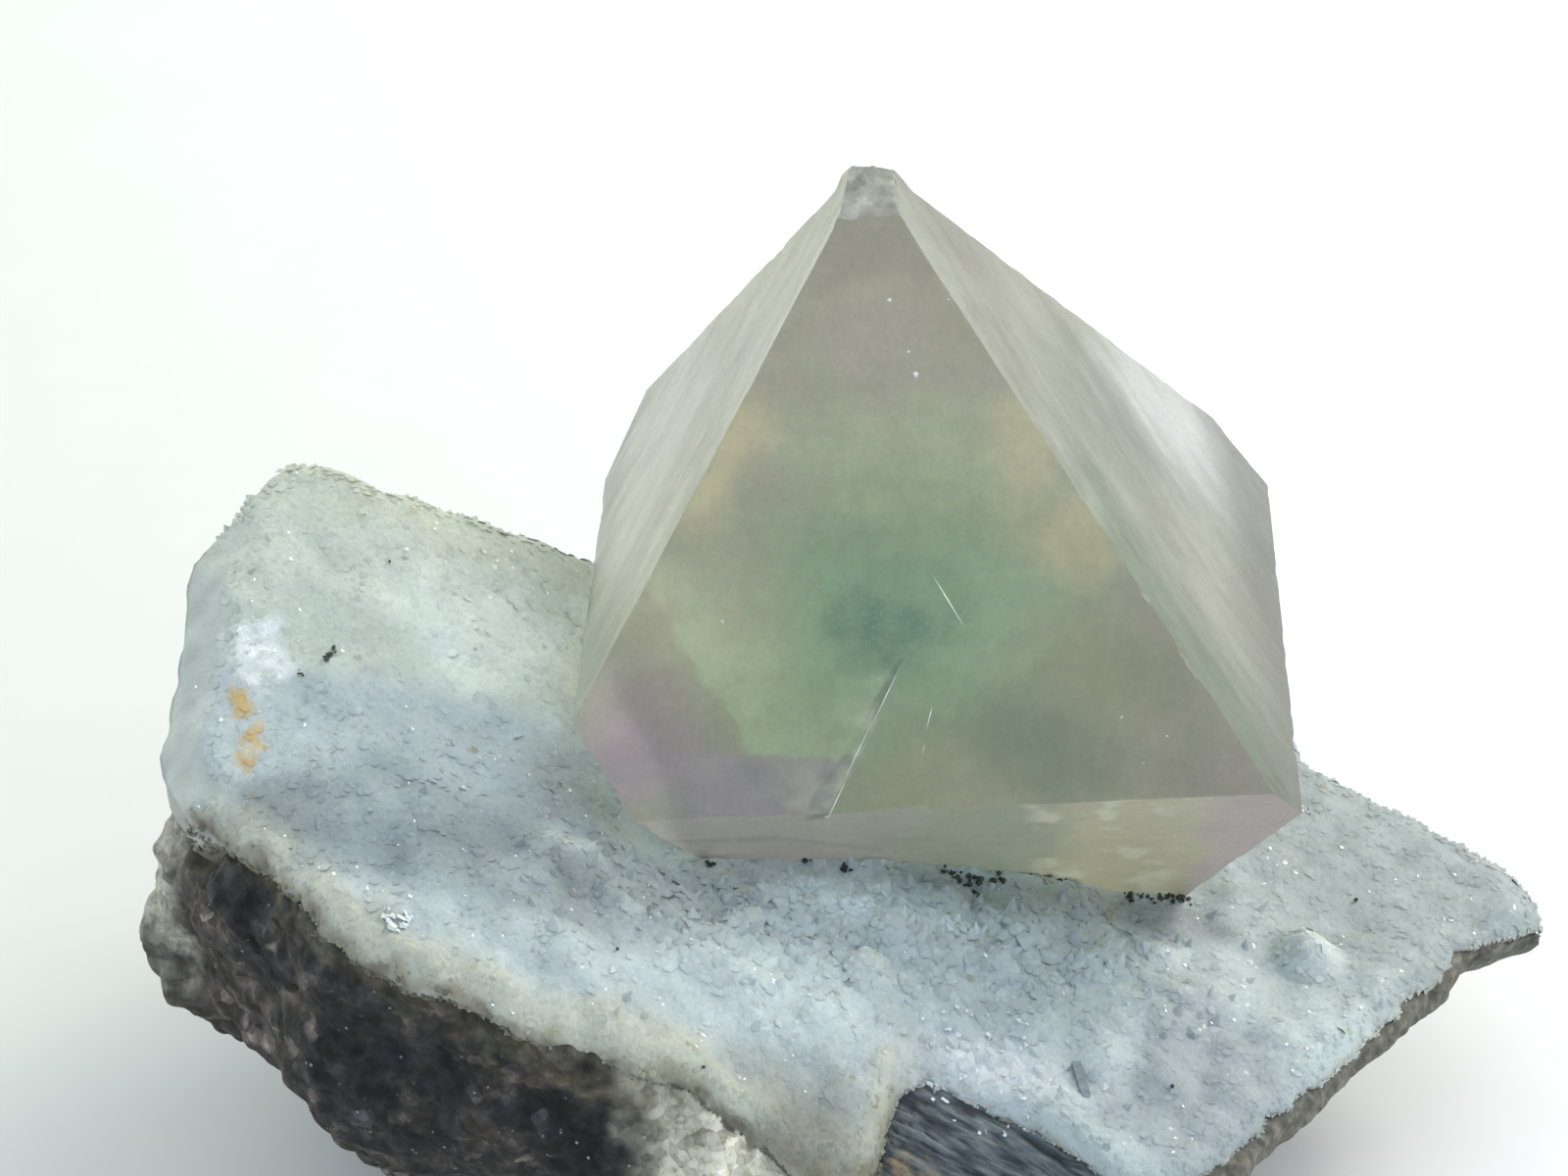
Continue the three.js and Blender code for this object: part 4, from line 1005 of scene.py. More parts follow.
def crust_colour(p):
    """Bluish-white quartz, cream at the broken front edge, rusty spots on the left, with painted shade where the
    crystal's shadow falls and painted light on the sunlit parts.
    """
    xy = p[:, :2]
    d, thick = rim_distance(xy)
    x, y = xy.T
    soft = 0.5 * noise(p, 2.5, 54)
    col = np.tile(np.array([0.45, 0.512, 0.505]), (len(p), 1))
    # upper-left lobe lighter and greener: partly its own colour, partly painted light where the sun falls on it
    lobe = smooth((y + 9.8 + 1.6 * soft) / 2.2) * smooth((-6 - x) / 2)
    col = mixed(col, (0.545, 0.59, 0.50), lobe)
    col = mixed(col, (0.74, 0.79, 0.69), lobe * smooth(1.3 - np.hypot((x + 11.5) / 3.5, (y + 6.2) / 2.6) + soft))
    col = mixed(col, (0.50, 0.54, 0.43), lobe * smooth((y + 3.8 + soft) / 1.4) * 0.8)
    # painted shade: darker, bluer druse where the crystal's shadow falls to its left and front; painted light: lighter
    # druse in front of it where it is lit; darker towards the right
    col = mixed(col, (0.335, 0.38, 0.37), smooth((x - 15) / 6) * smooth((y + 17) / 6))
    col = mixed(col, (0.268, 0.322, 0.335), smooth(1.3 - np.hypot((x + 14.2) / 7.6, (y + 16.0) / 3.6) + soft) * smooth((-10.6 - y + soft) / 2.5) * 0.9)
    col = mixed(col, (0.53, 0.60, 0.575), smooth(1.3 - np.hypot((x - 0.5) / 4.5, (y + 18.9) / 1.7) + soft))
    col = mixed(col, (0.31, 0.35, 0.36), smooth(1.3 - np.hypot((x - 16) / 5.5, (y + 20.5) / 4.0) + soft))
    frontal = smooth((-13.5 - y) / 3.0) * smooth((9.0 - x) / 6.0)
    col = mixed(col, (0.48, 0.495, 0.405), frontal * smooth((2.6 - d + 0.7 * noise(p, 1.2, 51)) / 1.8))
    col = mixed(col, (0.245, 0.25, 0.205), smooth(1.3 - np.hypot((x - 1.2) / 3.4, (y + 25) / 2.6) + soft))
    for c, r, _ in KNOBS[:2]:
        col = mixed(col, (0.56, 0.61, 0.58), 0.8 * smooth((r * 1.05 - np.hypot(*(xy - np.array(c)).T)) / 0.3))
    col = mixed(col, (0.70, 0.73, 0.74), np.exp(-(((xy[:, 0] - 7.5) / 3.4) ** 2) - (((xy[:, 1] + 20.9) / 1.3) ** 2)) * 0.9)
    # painted shade and painted light: the druse darker where the crystal's shadow falls to its left and front, lighter
    # where it is lit
    for cx, cy, rx, ry, k in ((-10.9, -17.3, 3.6, 2.0, 0.72), (-18.2, -15.2, 2.6, 2.0, 0.6), (-4.9, -17.3, 4.0, 2.0, 0.66), (-8.2, -12.6, 2.4, 2.6, 0.70), (3.7, -14.9, 3.4, 1.4, 1.36),
                              (-1.5, -20.0, 3.4, 2.0, 1.10), (-10.5, -8.6, 4.0, 1.3, 1.10), (20.5, -4.8, 4.5, 3.0, 0.92), (14.5, -12.0, 4.5, 1.3, 0.86)):
        col = col * (1 + (k - 1) * smooth(1.35 - np.hypot((x - cx) / rx, (y - cy) / ry) + 0.9 * soft))[:, None]
    # painted shade along the crystal's foot, where its shadow and the contact darken the druse
    near = -inside_crystal(p)
    col = col * (1 - 0.34 * smooth((2.9 - near + 0.6 * soft) / 1.2) * (0.25 + 0.75 * smooth(near)) * smooth((x - 3.0) / 2.0) * smooth((18.5 - x) / 2.0) * smooth((-8.0 - y) / 2.0))[:, None]
    # thin stained edge over the rock
    thin = smooth((-12.0 - y) / 3.0) * smooth((4.4 - x) / 1.2)
    col = mixed(col, (0.29, 0.26, 0.175), 0.8 * thin * smooth((0.6 - d + 0.35 * noise(p, 0.7, 67)) / 0.55))
    col = mixed(col, (0.12, 0.10, 0.07), 0.85 * thin * smooth((0.25 - d + 0.25 * noise(p, 0.45, 68)) / 0.3))
    bare = left_break(xy, d)
    streak = noise(np.column_stack([xy * 1.1, p[:, 2] * 0.35]), 0.8, 55) + 0.5 * noise(np.column_stack([xy * 2.6, p[:, 2] * 0.6]), 0.8, 56)
    col = mixed(col, (0.525, 0.55, 0.475), bare * 0.85) * (1 + 0.12 * bare * streak)[:, None]
    patch = np.hypot((xy[:, 0] + 19.85) / 1.15, (xy[:, 1] + 8.2) / 1.35) + 0.35 * noise(p, 0.5, 57)
    vein = np.clip(1 - 3.5 * np.abs(fbm(p, 0.7, 2, 58)), 0, 1)
    col = mixed(col, (0.80, 0.83, 0.82), smooth((1.2 - patch) / 0.5) * (0.45 + 0.55 * vein))
    col = col * (1 + 0.05 * fbm(p, 1.6, 3, 52))[:, None]
    for c, r in (((-20.49, -10.4), 0.36), ((-20.45, -10.85), 0.24), ((-20.2, -12.0), 0.42), ((-19.85, -12.5), 0.36), ((-20.1, -13.0), 0.4)):
        near = np.hypot(*(xy - np.array(c)).T) / r + 0.9 * noise(p, 0.3, 53) + 0.3 * noise(p, 0.13, 59)
        col = mixed(col, (0.56, 0.39, 0.14), smooth((1.2 - near) / 0.5) * 0.85)
    core = np.hypot(*(xy - np.array([-20.0, -12.55])).T) / 0.3 + 0.7 * noise(p, 0.25, 60)
    col = mixed(col, (0.66, 0.63, 0.46), smooth((1.1 - core) / 0.4) * 0.8)
    return col


def milky_and_lit(p):
    """Share of the milk-white quartz under and behind the crystal, brightened as painted light that stands in for the
    light the crystal lets through.
    """
    behind = smooth((p[:, 1] - 1) / 3) * smooth((p[:, 0] + 7) / 3) * smooth((17 - p[:, 0]) / 4)
    return np.maximum(smooth((inside_crystal(p) + 0.1) / 0.4), behind)


def side_share(rim):
    """How much of the crust's broken side shows: little along the front, where the rock reaches up."""
    x, y = rim[:, 0], rim[:, 1]
    right = smooth((x - 11.0) / 2.5)
    front = (1 - right) * smooth((x + 22.0) / 1.2) * smooth((-13 - y) / 3.0)
    return 1 - 0.85 * front - 0.6 * right * smooth((-6.0 - y) / 2.0)


def rim_cut(rim):
    """Uneven broken edge: how far the rim moves out."""
    q = np.column_stack([rim[:, :2], np.full(len(rim), 2.5)])
    return (0.10 * noise(q, 0.5, 61) + 0.14 * noise(q, 1.4, 62)) * (1 - 0.7 * smooth((-20.5 - rim[:, 0]) / 1.5))


def build_crust():
    rim = resampled_rim(560)
    rel = rim[:, :2] - CRUST_CENTRE
    radius = np.linalg.norm(rel, axis=1)
    out = rel / radius[:, None]
    thick = rim[:, 2]
    grow = rim_cut(rim)
    rings = []
    for t in np.r_[np.linspace(0.02, 0.93, 56), np.linspace(0.94, 0.995, 9)]:
        xy = CRUST_CENTRE + rel * t + out * (grow * t**4)[:, None]
        rings.append(np.column_stack([xy, crust_top(xy)]))
    n_top = len(rings)
    # broken side of the crust, from the rounded rim down to the rock
    rim_xy = CRUST_CENTRE + rel + out * grow[:, None]
    base = SHEET(rim[:, :2])
    share = side_share(rim)
    for f, inset, extra in ((0.46, 0.02, 0), (0.55, 0.03, 0), (0.64, 0.06, 0), (0.73, 0.1, 0), (0.82, 0.17, 0), (0.91, 0.28, 0), (1.0, 0.42, 0.05), (1.0, 0.9, 0.4)):
        xy = rim_xy - out * inset
        p = np.column_stack([xy, base - (0.44 + (f - 0.44) * share) * thick - extra])
        p[:, :2] += out * ((0.22 * fbm(p, 0.9, 3, 63) + 0.1 * cells(p, 0.6, 64)[2]) * (1 - 0.6 * smooth((-20.5 - p[:, 0]) / 1.5)))[:, None]
        rings.append(p)
    for t in (0.8, 0.4):
        xy = CRUST_CENTRE + rel * t
        rings.append(np.column_stack([xy, SHEET(xy) - CRUST_MIDDLE]))
    top = np.array([[*CRUST_CENTRE]])
    first = np.array([*CRUST_CENTRE, crust_top(top)[0]])
    last = np.array([*CRUST_CENTRE, SHEET(top)[0] - CRUST_MIDDLE])
    verts, tris = ring_skin(first, rings, last)
    col = crust_colour(verts) * 1.08
    # milk-white quartz under the crystal, made bright as painted light for the light passing through the crystal
    col = mixed(col, (0.84, 0.84, 0.79), milky_and_lit(verts))
    # side colours: cream-grey break with down-streaks, stained where it meets the rock
    n = len(rim)
    side = np.zeros(len(verts))
    depth = np.zeros(len(verts))
    for r in range(n_top, len(rings)):
        side[1 + r * n : 1 + (r + 1) * n] = 1
        depth[1 + r * n : 1 + (r + 1) * n] = min(1, (r - n_top) / 7) + 0.7 * (1 - share) * smooth((5.0 - rim[:, 0]) / 1.5)
    streak = noise(np.column_stack([verts[:, 0] * 3, verts[:, 1] * 3, verts[:, 2] * 0.4]), 1.0, 65)
    brk = np.array([0.46, 0.465, 0.41]) * (1 + 0.12 * streak)[:, None]
    col = col * (1 - side)[:, None] + brk * side[:, None]
    stain = side * smooth((depth - 0.35 + 0.4 * fbm(verts, 0.7, 3, 66)) / 0.5)
    col = mixed(col, (0.16, 0.14, 0.09), stain * 0.9)
    ob = new_object("quartz_druse_bed", verts, tris, quartz_material("quartz_bed", True), col, True, {"shine": np.zeros(len(verts))})
    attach(ob, "root")
    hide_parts("quartz_crust")
    return ob


def tip_mesh(place, normal, radius, height, rng, sunk):
    """Closed six-sided points standing on the surface: vertices and triangles of all of them together."""
    n = len(place)
    axis = unit(normal)
    helper = np.where(np.abs(axis[:, 2:3]) < 0.9, np.array([[0, 0, 1.0]]), np.array([[1.0, 0, 0]]))
    u = unit(np.cross(axis, helper))
    v = np.cross(axis, u)
    turn = rng.uniform(0, 2 * math.pi, n)
    foot = place - axis * sunk[:, None]
    verts = np.zeros((n, 7, 3))
    lean = rng.uniform(0, 0.35, n) * radius
    at = rng.uniform(0, 2 * math.pi, n)
    for k in range(6):
        a = turn + k * math.pi / 3
        r = radius * rng.uniform(0.78, 1.18, n)
        verts[:, k] = foot + u * (r * np.cos(a))[:, None] + v * (r * np.sin(a))[:, None]
    verts[:, 6] = foot + axis * (height + sunk)[:, None] + u * (lean * np.cos(at))[:, None] + v * (lean * np.sin(at))[:, None]
    local = np.array([[0, 1, 6], [1, 2, 6], [2, 3, 6], [3, 4, 6], [4, 5, 6], [5, 0, 6], [0, 2, 1], [0, 3, 2], [0, 4, 3], [0, 5, 4]])
    tris = (np.arange(n)[:, None, None] * 7 + local[None]).reshape(-1, 3)
    return verts.reshape(-1, 3), tris


def soften(ob, normals, share):
    """Shades the points partly with the normal of the bed below them, as light spreads through the quartz."""
    me = ob.data
    face = np.zeros(len(me.polygons) * 3, np.float32)
    me.polygons.foreach_get("normal", face)
    face = np.repeat(face.reshape(-1, 3), 3, 0)
    vert = np.zeros(len(me.loops), np.int32)
    me.loops.foreach_get("vertex_index", vert)
    n = unit(face * (1 - share[vert])[:, None] + normals[vert] * share[vert][:, None])
    me.polygons.foreach_set("use_smooth", np.ones(len(me.polygons), dtype=bool))
    me.normals_split_custom_set(n.tolist())


def surface_normals(xy, h=0.12):
    zx = (crust_top(xy + [h, 0]) - crust_top(xy - [h, 0])) / (2 * h)
    zy = (crust_top(xy + [0, h]) - crust_top(xy - [0, h])) / (2 * h)
    return unit(np.column_stack([-zx, -zy, np.ones(len(xy))]))


def build_tips():
    rng = np.random.default_rng(5150)
    s = 0.285
    gx, gy = np.meshgrid(np.arange(-24, 31.5, s), np.arange(-27, 17, s * 0.866))
    gx = gx + (np.arange(gx.shape[0])[:, None] % 2) * s * 0.5
    xy = np.stack([gx.ravel(), gy.ravel()], 1) + rng.uniform(-0.45, 0.45, (gx.size, 2)) * s
    d, _ = rim_distance(xy)
    xy = xy[d > 0.03]
    z = crust_top(xy)
    p = np.column_stack([xy, z])
    keep = (inside_crystal(p) < 0.35) & (left_break(xy, d[d > 0.03]) < rng.uniform(0.25, 0.85, len(p)))
    p, xy, edge = p[keep], xy[keep], d[d > 0.03][keep]
    bed = surface_normals(xy, 0.7)
    # points on the broken side of the crust, except at its bare left end
    rim = resampled_rim(1100)
    rel = rim[:, :2] - CRUST_CENTRE
    out = rel / np.linalg.norm(rel, axis=1)[:, None]
    base = SHEET(rim[:, :2])
    share = side_share(rim)
    depth = np.zeros(len(p))
    for f, inset, tilt in ((0.48, 0.0, 0.5), (0.62, 0.03, 0.25), (0.76, 0.1, 0.05), (0.88, 0.22, -0.1)):
        pick = rng.uniform(0, 1, len(rim)) < 0.7 * rim[:, 2] / 1.8 * (0.5 + 0.5 * share)
        pick &= left_break(rim[:, :2], np.zeros(len(rim))) < 0.5
        q = np.column_stack([rim[:, :2] - out * (inset - rim_cut(rim)[:, None]), base - (0.44 + (f - 0.44 + rng.uniform(-0.05, 0.05, len(rim))) * share) * rim[:, 2]])[pick]
        q[:, :2] += out[pick] * (0.22 * fbm(q, 0.9, 3, 63) + 0.1 * cells(q, 0.6, 64)[2])[:, None]
        p = np.vstack([p, q])
        bed = np.vstack([bed, unit(np.column_stack([out[pick], np.full(pick.sum(), tilt)]))])
        edge = np.r_[edge, np.full(pick.sum(), 0.35)]
        depth = np.r_[depth, np.full(pick.sum(), (f - 0.44) / 0.56)]
    keep = inside_crystal(p) < 0.35
    p, bed, edge, depth = p[keep], bed[keep], edge[keep], depth[keep]
    xy = p[:, :2]
    n = unit(bed + rng.normal(size=bed.shape) * (0.085 + 0.17 * smooth((0.9 - edge) / 0.5))[:, None])
    coarse = np.maximum(front_growth(xy), np.exp(-(((xy[:, 0] - 7.5) / 3.4) ** 2) - (((xy[:, 1] + 20.9) / 1.3) ** 2)))
    size = np.exp(rng.normal(0, 0.22, len(p))).clip(0.65, 1.7) * (1 + 0.55 * coarse * rng.uniform(0, 1, len(p)))
    large = (rng.uniform(0, 1, len(p)) < 0.004 + 0.24 * coarse) & (edge > 0.9)
    size = np.where(large, size * rng.uniform(1.2, 1.8, len(p)), size)
    radius = (0.185 - 0.05 * (depth > 0)) * size * np.where(large, 0.7, 1.0) * (1 - 0.3 * smooth((0.9 - edge) / 0.5) * smooth((-12 - xy[:, 1]) / 3))
    n = np.where(large[:, None], unit(n + rng.normal(size=n.shape) * 0.3), n)
    height = size * rng.uniform(0.75, 1.45, len(p)) * (0.016 + 0.10 * smooth((0.8 - edge) / 0.5) + 0.05 * coarse) 
    height = np.where(large, rng.uniform(0.2, 0.6, len(p)), height)
    verts, tris = tip_mesh(p, n, radius, height, rng, 0.022 * size)
    # milk-white quartz under the crystal, made bright as painted light for the light passing through the crystal
    col = mixed(crust_colour(p), (0.84, 0.84, 0.79), milky_and_lit(p) * smooth((xy[:, 1] - 2) / 3)) * rng.uniform(0.90, 1.10, (len(p), 1))
    side = smooth((0.4 - edge) / 0.1)
    col = mixed(col, (0.47, 0.475, 0.42), side * smooth((-6 - xy[:, 1]) / 4) * smooth((12 - xy[:, 0]) / 5) * smooth((xy[:, 0] - 3.5) / 1.5) * 0.5)
    front = side * smooth((-12 - xy[:, 1]) / 3) * smooth((4.4 - xy[:, 0]) / 1.2)
    stain = smooth((depth + 0.15 * front - 0.35 + 0.45 * fbm(p, 0.7, 3, 66) + rng.uniform(-0.3, 0.3, len(p))) / 0.45)
    col = mixed(mixed(col, (0.28, 0.24, 0.14), np.minimum(1, 2 * stain) * 0.7), (0.10, 0.088, 0.062), np.maximum(0, 2 * stain - 1) * 0.9)
    col = np.repeat(col, 7, 0).reshape(-1, 7, 3) * np.array([1.0] * 6 + [1.09])[None, :, None]
    col = col.reshape(-1, 3)
    shine = np.repeat((rng.uniform(0, 1, len(p)) < 0.06) * rng.uniform(0.6, 1.0, len(p)), 7)
    bed = np.repeat(bed, 7, 0)
    share = np.where(np.repeat(large, 7), 0.5, np.where(shine > 0, 0.55, 0.8))
    mat = quartz_material("quartz_tips", False)
    half = len(p) // 2
    for i, (a, b) in enumerate(((0, half), (half, len(p)))):
        ob = new_object(f"quartz_tips_{i + 1}", verts[a * 7 : b * 7], tris[a * 10 : b * 10] - a * 7, mat, col[a * 7 : b * 7], False, {"shine": shine[a * 7 : b * 7]})
        soften(ob, bed[a * 7 : b * 7], share[a * 7 : b * 7])
        ob.visible_shadow = False  # light passes through the small clear points
        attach(ob, "root")
    print("tips", len(p))


# ---- rock ---------------------------------------------------------------------------------------------------


def foot_points(rim):
    rel = rim[:, :2] - CRUST_CENTRE
    reach = np.full(len(rim), np.inf)
    for a, b in zip(FOOT_CORNERS, np.roll(FOOT_CORNERS, -1, 0)):
        e, q = b - a, a - FOOT_CENTRE
        det = e[0] * rel[:, 1] - e[1] * rel[:, 0]
        r = (e[0] * q[1] - e[1] * q[0]) / det
        share = (rel[:, 0] * q[1] - rel[:, 1] * q[0]) / det
        ok = (r > 0) & (share >= -1e-9) & (share <= 1 + 1e-9)
        reach = np.where(ok & (r < reach), r, reach)
    return FOOT_CENTRE + rel * reach[:, None]


def rock_zones(p):
    """Shares of schist, pale granular rock and brown weathering, and of the brown-grey rim on the right."""
    x, y, z = p.T
    wob = 0.8 * fbm(p, 1.6, 3, 71)
    schist = smooth((x - 3.2 + wob) / 0.9) * smooth((14.5 - x + wob) / 1.5) * smooth((-13 - y) / 3)
    pale = smooth((x + 6.6 + 1.6 * wob) / 2.4) * (0.6 + 0.4 * smooth((x + 3.6 + wob) / 1.8)) * smooth((2.6 - x + wob) / 1.2) * smooth((-20 - y) / 2) * smooth((z + 13) / 2.5)
    pale = np.maximum(pale, 0.5 * smooth((-22.3 - x + 0.8 * wob) / 0.9) * smooth((z + 8.0 + 2.5 * wob) / 3))
    rim = smooth((x - 13.5 + wob) / 2.0)
    # weathered along the left outline, from the quartz down to the foot, and low at the front
    left = smooth((-20.7 - x + 0.62 * (-2.0 - z) + 1.5 * wob) / 1.6)
    brown = np.maximum(left, smooth((-8.5 - z + 2.6 * wob) / 3.0) * 0.8)
    brown = np.maximum(brown, 0.75 * smooth((fbm(p, 2.6, 3, 72) - 0.12) / 0.16))
    ochre = smooth((-8.4 - z - 0.35 * (x - 5) + wob) / 1.5)
    return np.stack([schist, pale * (1 - schist), brown * (1 - schist)], 1), np.stack([rim, ochre, 0 * rim], 1)


def build_rock():
    rim = resampled_rim(860, 3.0)
    rel = rim[:, :2] - CRUST_CENTRE
    out = rel / np.linalg.norm(rel, axis=1)[:, None]
    foot = foot_points(rim)
    xy = CRUST_CENTRE + rel * BOTTOM_RIM
    share = side_share(rim)
    upper = np.column_stack([xy, SHEET(xy) - rim[:, 2] * (0.44 + 0.56 * share) - 0.05 - 0.25 * share])
    rings = []
    for t in (0.35, 0.7, 0.9):
        q = CRUST_CENTRE + rel * t
        th = rim[:, 2] + (CRUST_MIDDLE - rim[:, 2]) * smooth((1 - t) / 0.3)
        rings.append(np.column_stack([q, SHEET(q) - th + 0.1]))
    rings.append(upper + np.array([0, 0, 0.5]) - np.column_stack([out * 0.25, np.zeros(len(out))]))
    hold, bulge, lip = rim[:, 3], rim[:, 4], rim[:, 5]
    levels = np.r_[np.linspace(0, 0.5, 68), np.linspace(0.512, 1, 36)]
    contact = {}
    for level in levels:
        run = np.clip((level - lip) / (1 - lip), 0, 1) ** hold
        z = upper[:, 2] + (FLOOR_Z - upper[:, 2]) * level
        q = upper[:, :2] + (foot - upper[:, :2]) * run[:, None]
        p = np.column_stack([q, z])
        rough = ROCK_ROUGHNESS * smooth(level / 0.2) * (solid_noise(p / ROCK_PITCH) + 0.5 * solid_noise(2.1 * p / ROCK_PITCH))
        push = bulge * math.sin(math.pi * level**0.65) + (rough if level < 1 else 0)
        push = push + 0.9 * np.exp(-(((rim[:, 0] + 23) / 2.0) ** 2) - ((rim[:, 1] + 13.8) / 2.2) ** 2 - ((level - 0.26) / 0.14) ** 2)
        push = push + smooth((rim[:, 0] - 13) / 4) * (0.5 - 2.3 * smooth((level - 0.07) / 0.15)) * (1 - level)
        q = q + out * np.asarray(push)[:, None]
        rings.append(np.column_stack([q, z]))
        contact[len(rings) - 1] = level
    n = len(rim)
    for t in (0.92, 0.6):
        q = FOOT_CENTRE + (rings[-1][:, :2] - FOOT_CENTRE) * t
        if t == 0.92:
            edge = rings[-1][:, :2]
        q = FOOT_CENTRE + (edge - FOOT_CENTRE) * t
        rings.append(np.column_stack([q, np.full(n, FLOOR_Z)]))
    first = np.array([*CRUST_CENTRE, SHEET(CRUST_CENTRE[None])[0] - CRUST_MIDDLE + 0.1])
    verts, tris = ring_skin(first, rings, np.array([*FOOT_CENTRE, FLOOR_Z]))
    normal = vertex_normals(verts, tris)
    zones, rim_share = rock_zones(verts)
    for r, level in contact.items():
        rim_share[1 + r * n : 1 + (r + 1) * n, 2] = smooth((0.075 + 0.045 * smooth((rim[:, 0] + 13) / 5) - level) / 0.07)
    rim_share[:, 2] = smooth(rim_share[:, 2] * (1 - zones[:, 0]) + 0.8 * fbm(verts, 0.9, 3, 73) - 0.1)
    warp = verts + 0.35 * np.stack([noise(verts, 1.1, t) for t in (81, 82, 83)], 1)
    g1, _, gw = cells(warp, 0.42, 95)
    a1, _, aw = cells(warp, 1.8, 84)
    b1, _, bw = cells(warp, 0.85, 90)
    d = (0.26 + 0.08 * aw) * (1 - (a1 / 0.75) ** 2) + (0.13 + 0.05 * bw) * (1 - (b1 / 0.75) ** 2) + (0.03 + 0.015 * gw) * (1 - (g1 / 0.75) ** 2) - 0.22
    d = d + 0.30 * fbm(verts, 1.9, 3, 85, 0.5) + 0.5 * noise(verts, 3.4, 86)
    d = (d + 0.1 * rim_share[:, 0]) * (1 - 0.5 * rim_share[:, 0])
    leaf_n = np.array(LEAF_NORMAL)
    s = verts @ leaf_n / 0.5 + 0.5 * noise(verts, 2.2, 87)
    leaf = 0.30 * (np.abs(2 * (s - np.floor(s)) - 1) ** 0.6 - 0.5) + 0.25 * fbm(verts, 1.9, 3, 88)
    d = d * (1 - zones[:, 0]) + leaf * zones[:, 0]
    f1, f2, w = cells(verts, 0.62, 89)
    d = d + zones[:, 1] * 0.22 * np.maximum(0, 1 - (f1 / 0.8) ** 2)
    hidden = np.zeros(len(verts))
    hidden[1 + 4 * n :] = 1
    flat = smooth((verts[:, 2] - FLOOR_Z) / 1.2)
    d = d * hidden * flat
    verts = verts + normal * d[:, None]
    verts[:, 2] = np.maximum(verts[:, 2], FLOOR_Z)
    ob = new_object("matrix_rock_broken", verts, tris, rock_material(), rim_share, True, {"zone": zones})
    ob.data.set_sharp_from_angle(angle=math.radians(80))
    print("rock triangles", len(tris))
    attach(ob, "root")
    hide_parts("matrix_rock")


def lump(centre, size, rng, stretch=(1, 1, 1)):
    """Small irregular closed grain."""
    t = (1 + 5**0.5) / 2
    v = unit(np.array([(-1, t, 0), (1, t, 0), (-1, -t, 0), (1, -t, 0), (0, -1, t), (0, 1, t), (0, -1, -t), (0, 1, -t), (t, 0, -1), (t, 0, 1), (-t, 0, -1), (-t, 0, 1)], float))
    f = np.array([(0, 11, 5), (0, 5, 1), (0, 1, 7), (0, 7, 10), (0, 10, 11), (1, 5, 9), (5, 11, 4), (11, 10, 2), (10, 7, 6), (7, 1, 8), (3, 9, 4), (3, 4, 2), (3, 2, 6), (3, 6, 8), (3, 8, 9), (4, 9, 5), (2, 4, 11), (6, 2, 10), (8, 6, 7), (9, 8, 1)])
    q = v * rng.uniform(0.62, 1.15, (12, 1)) * size * np.array(stretch)
    return q + centre, f


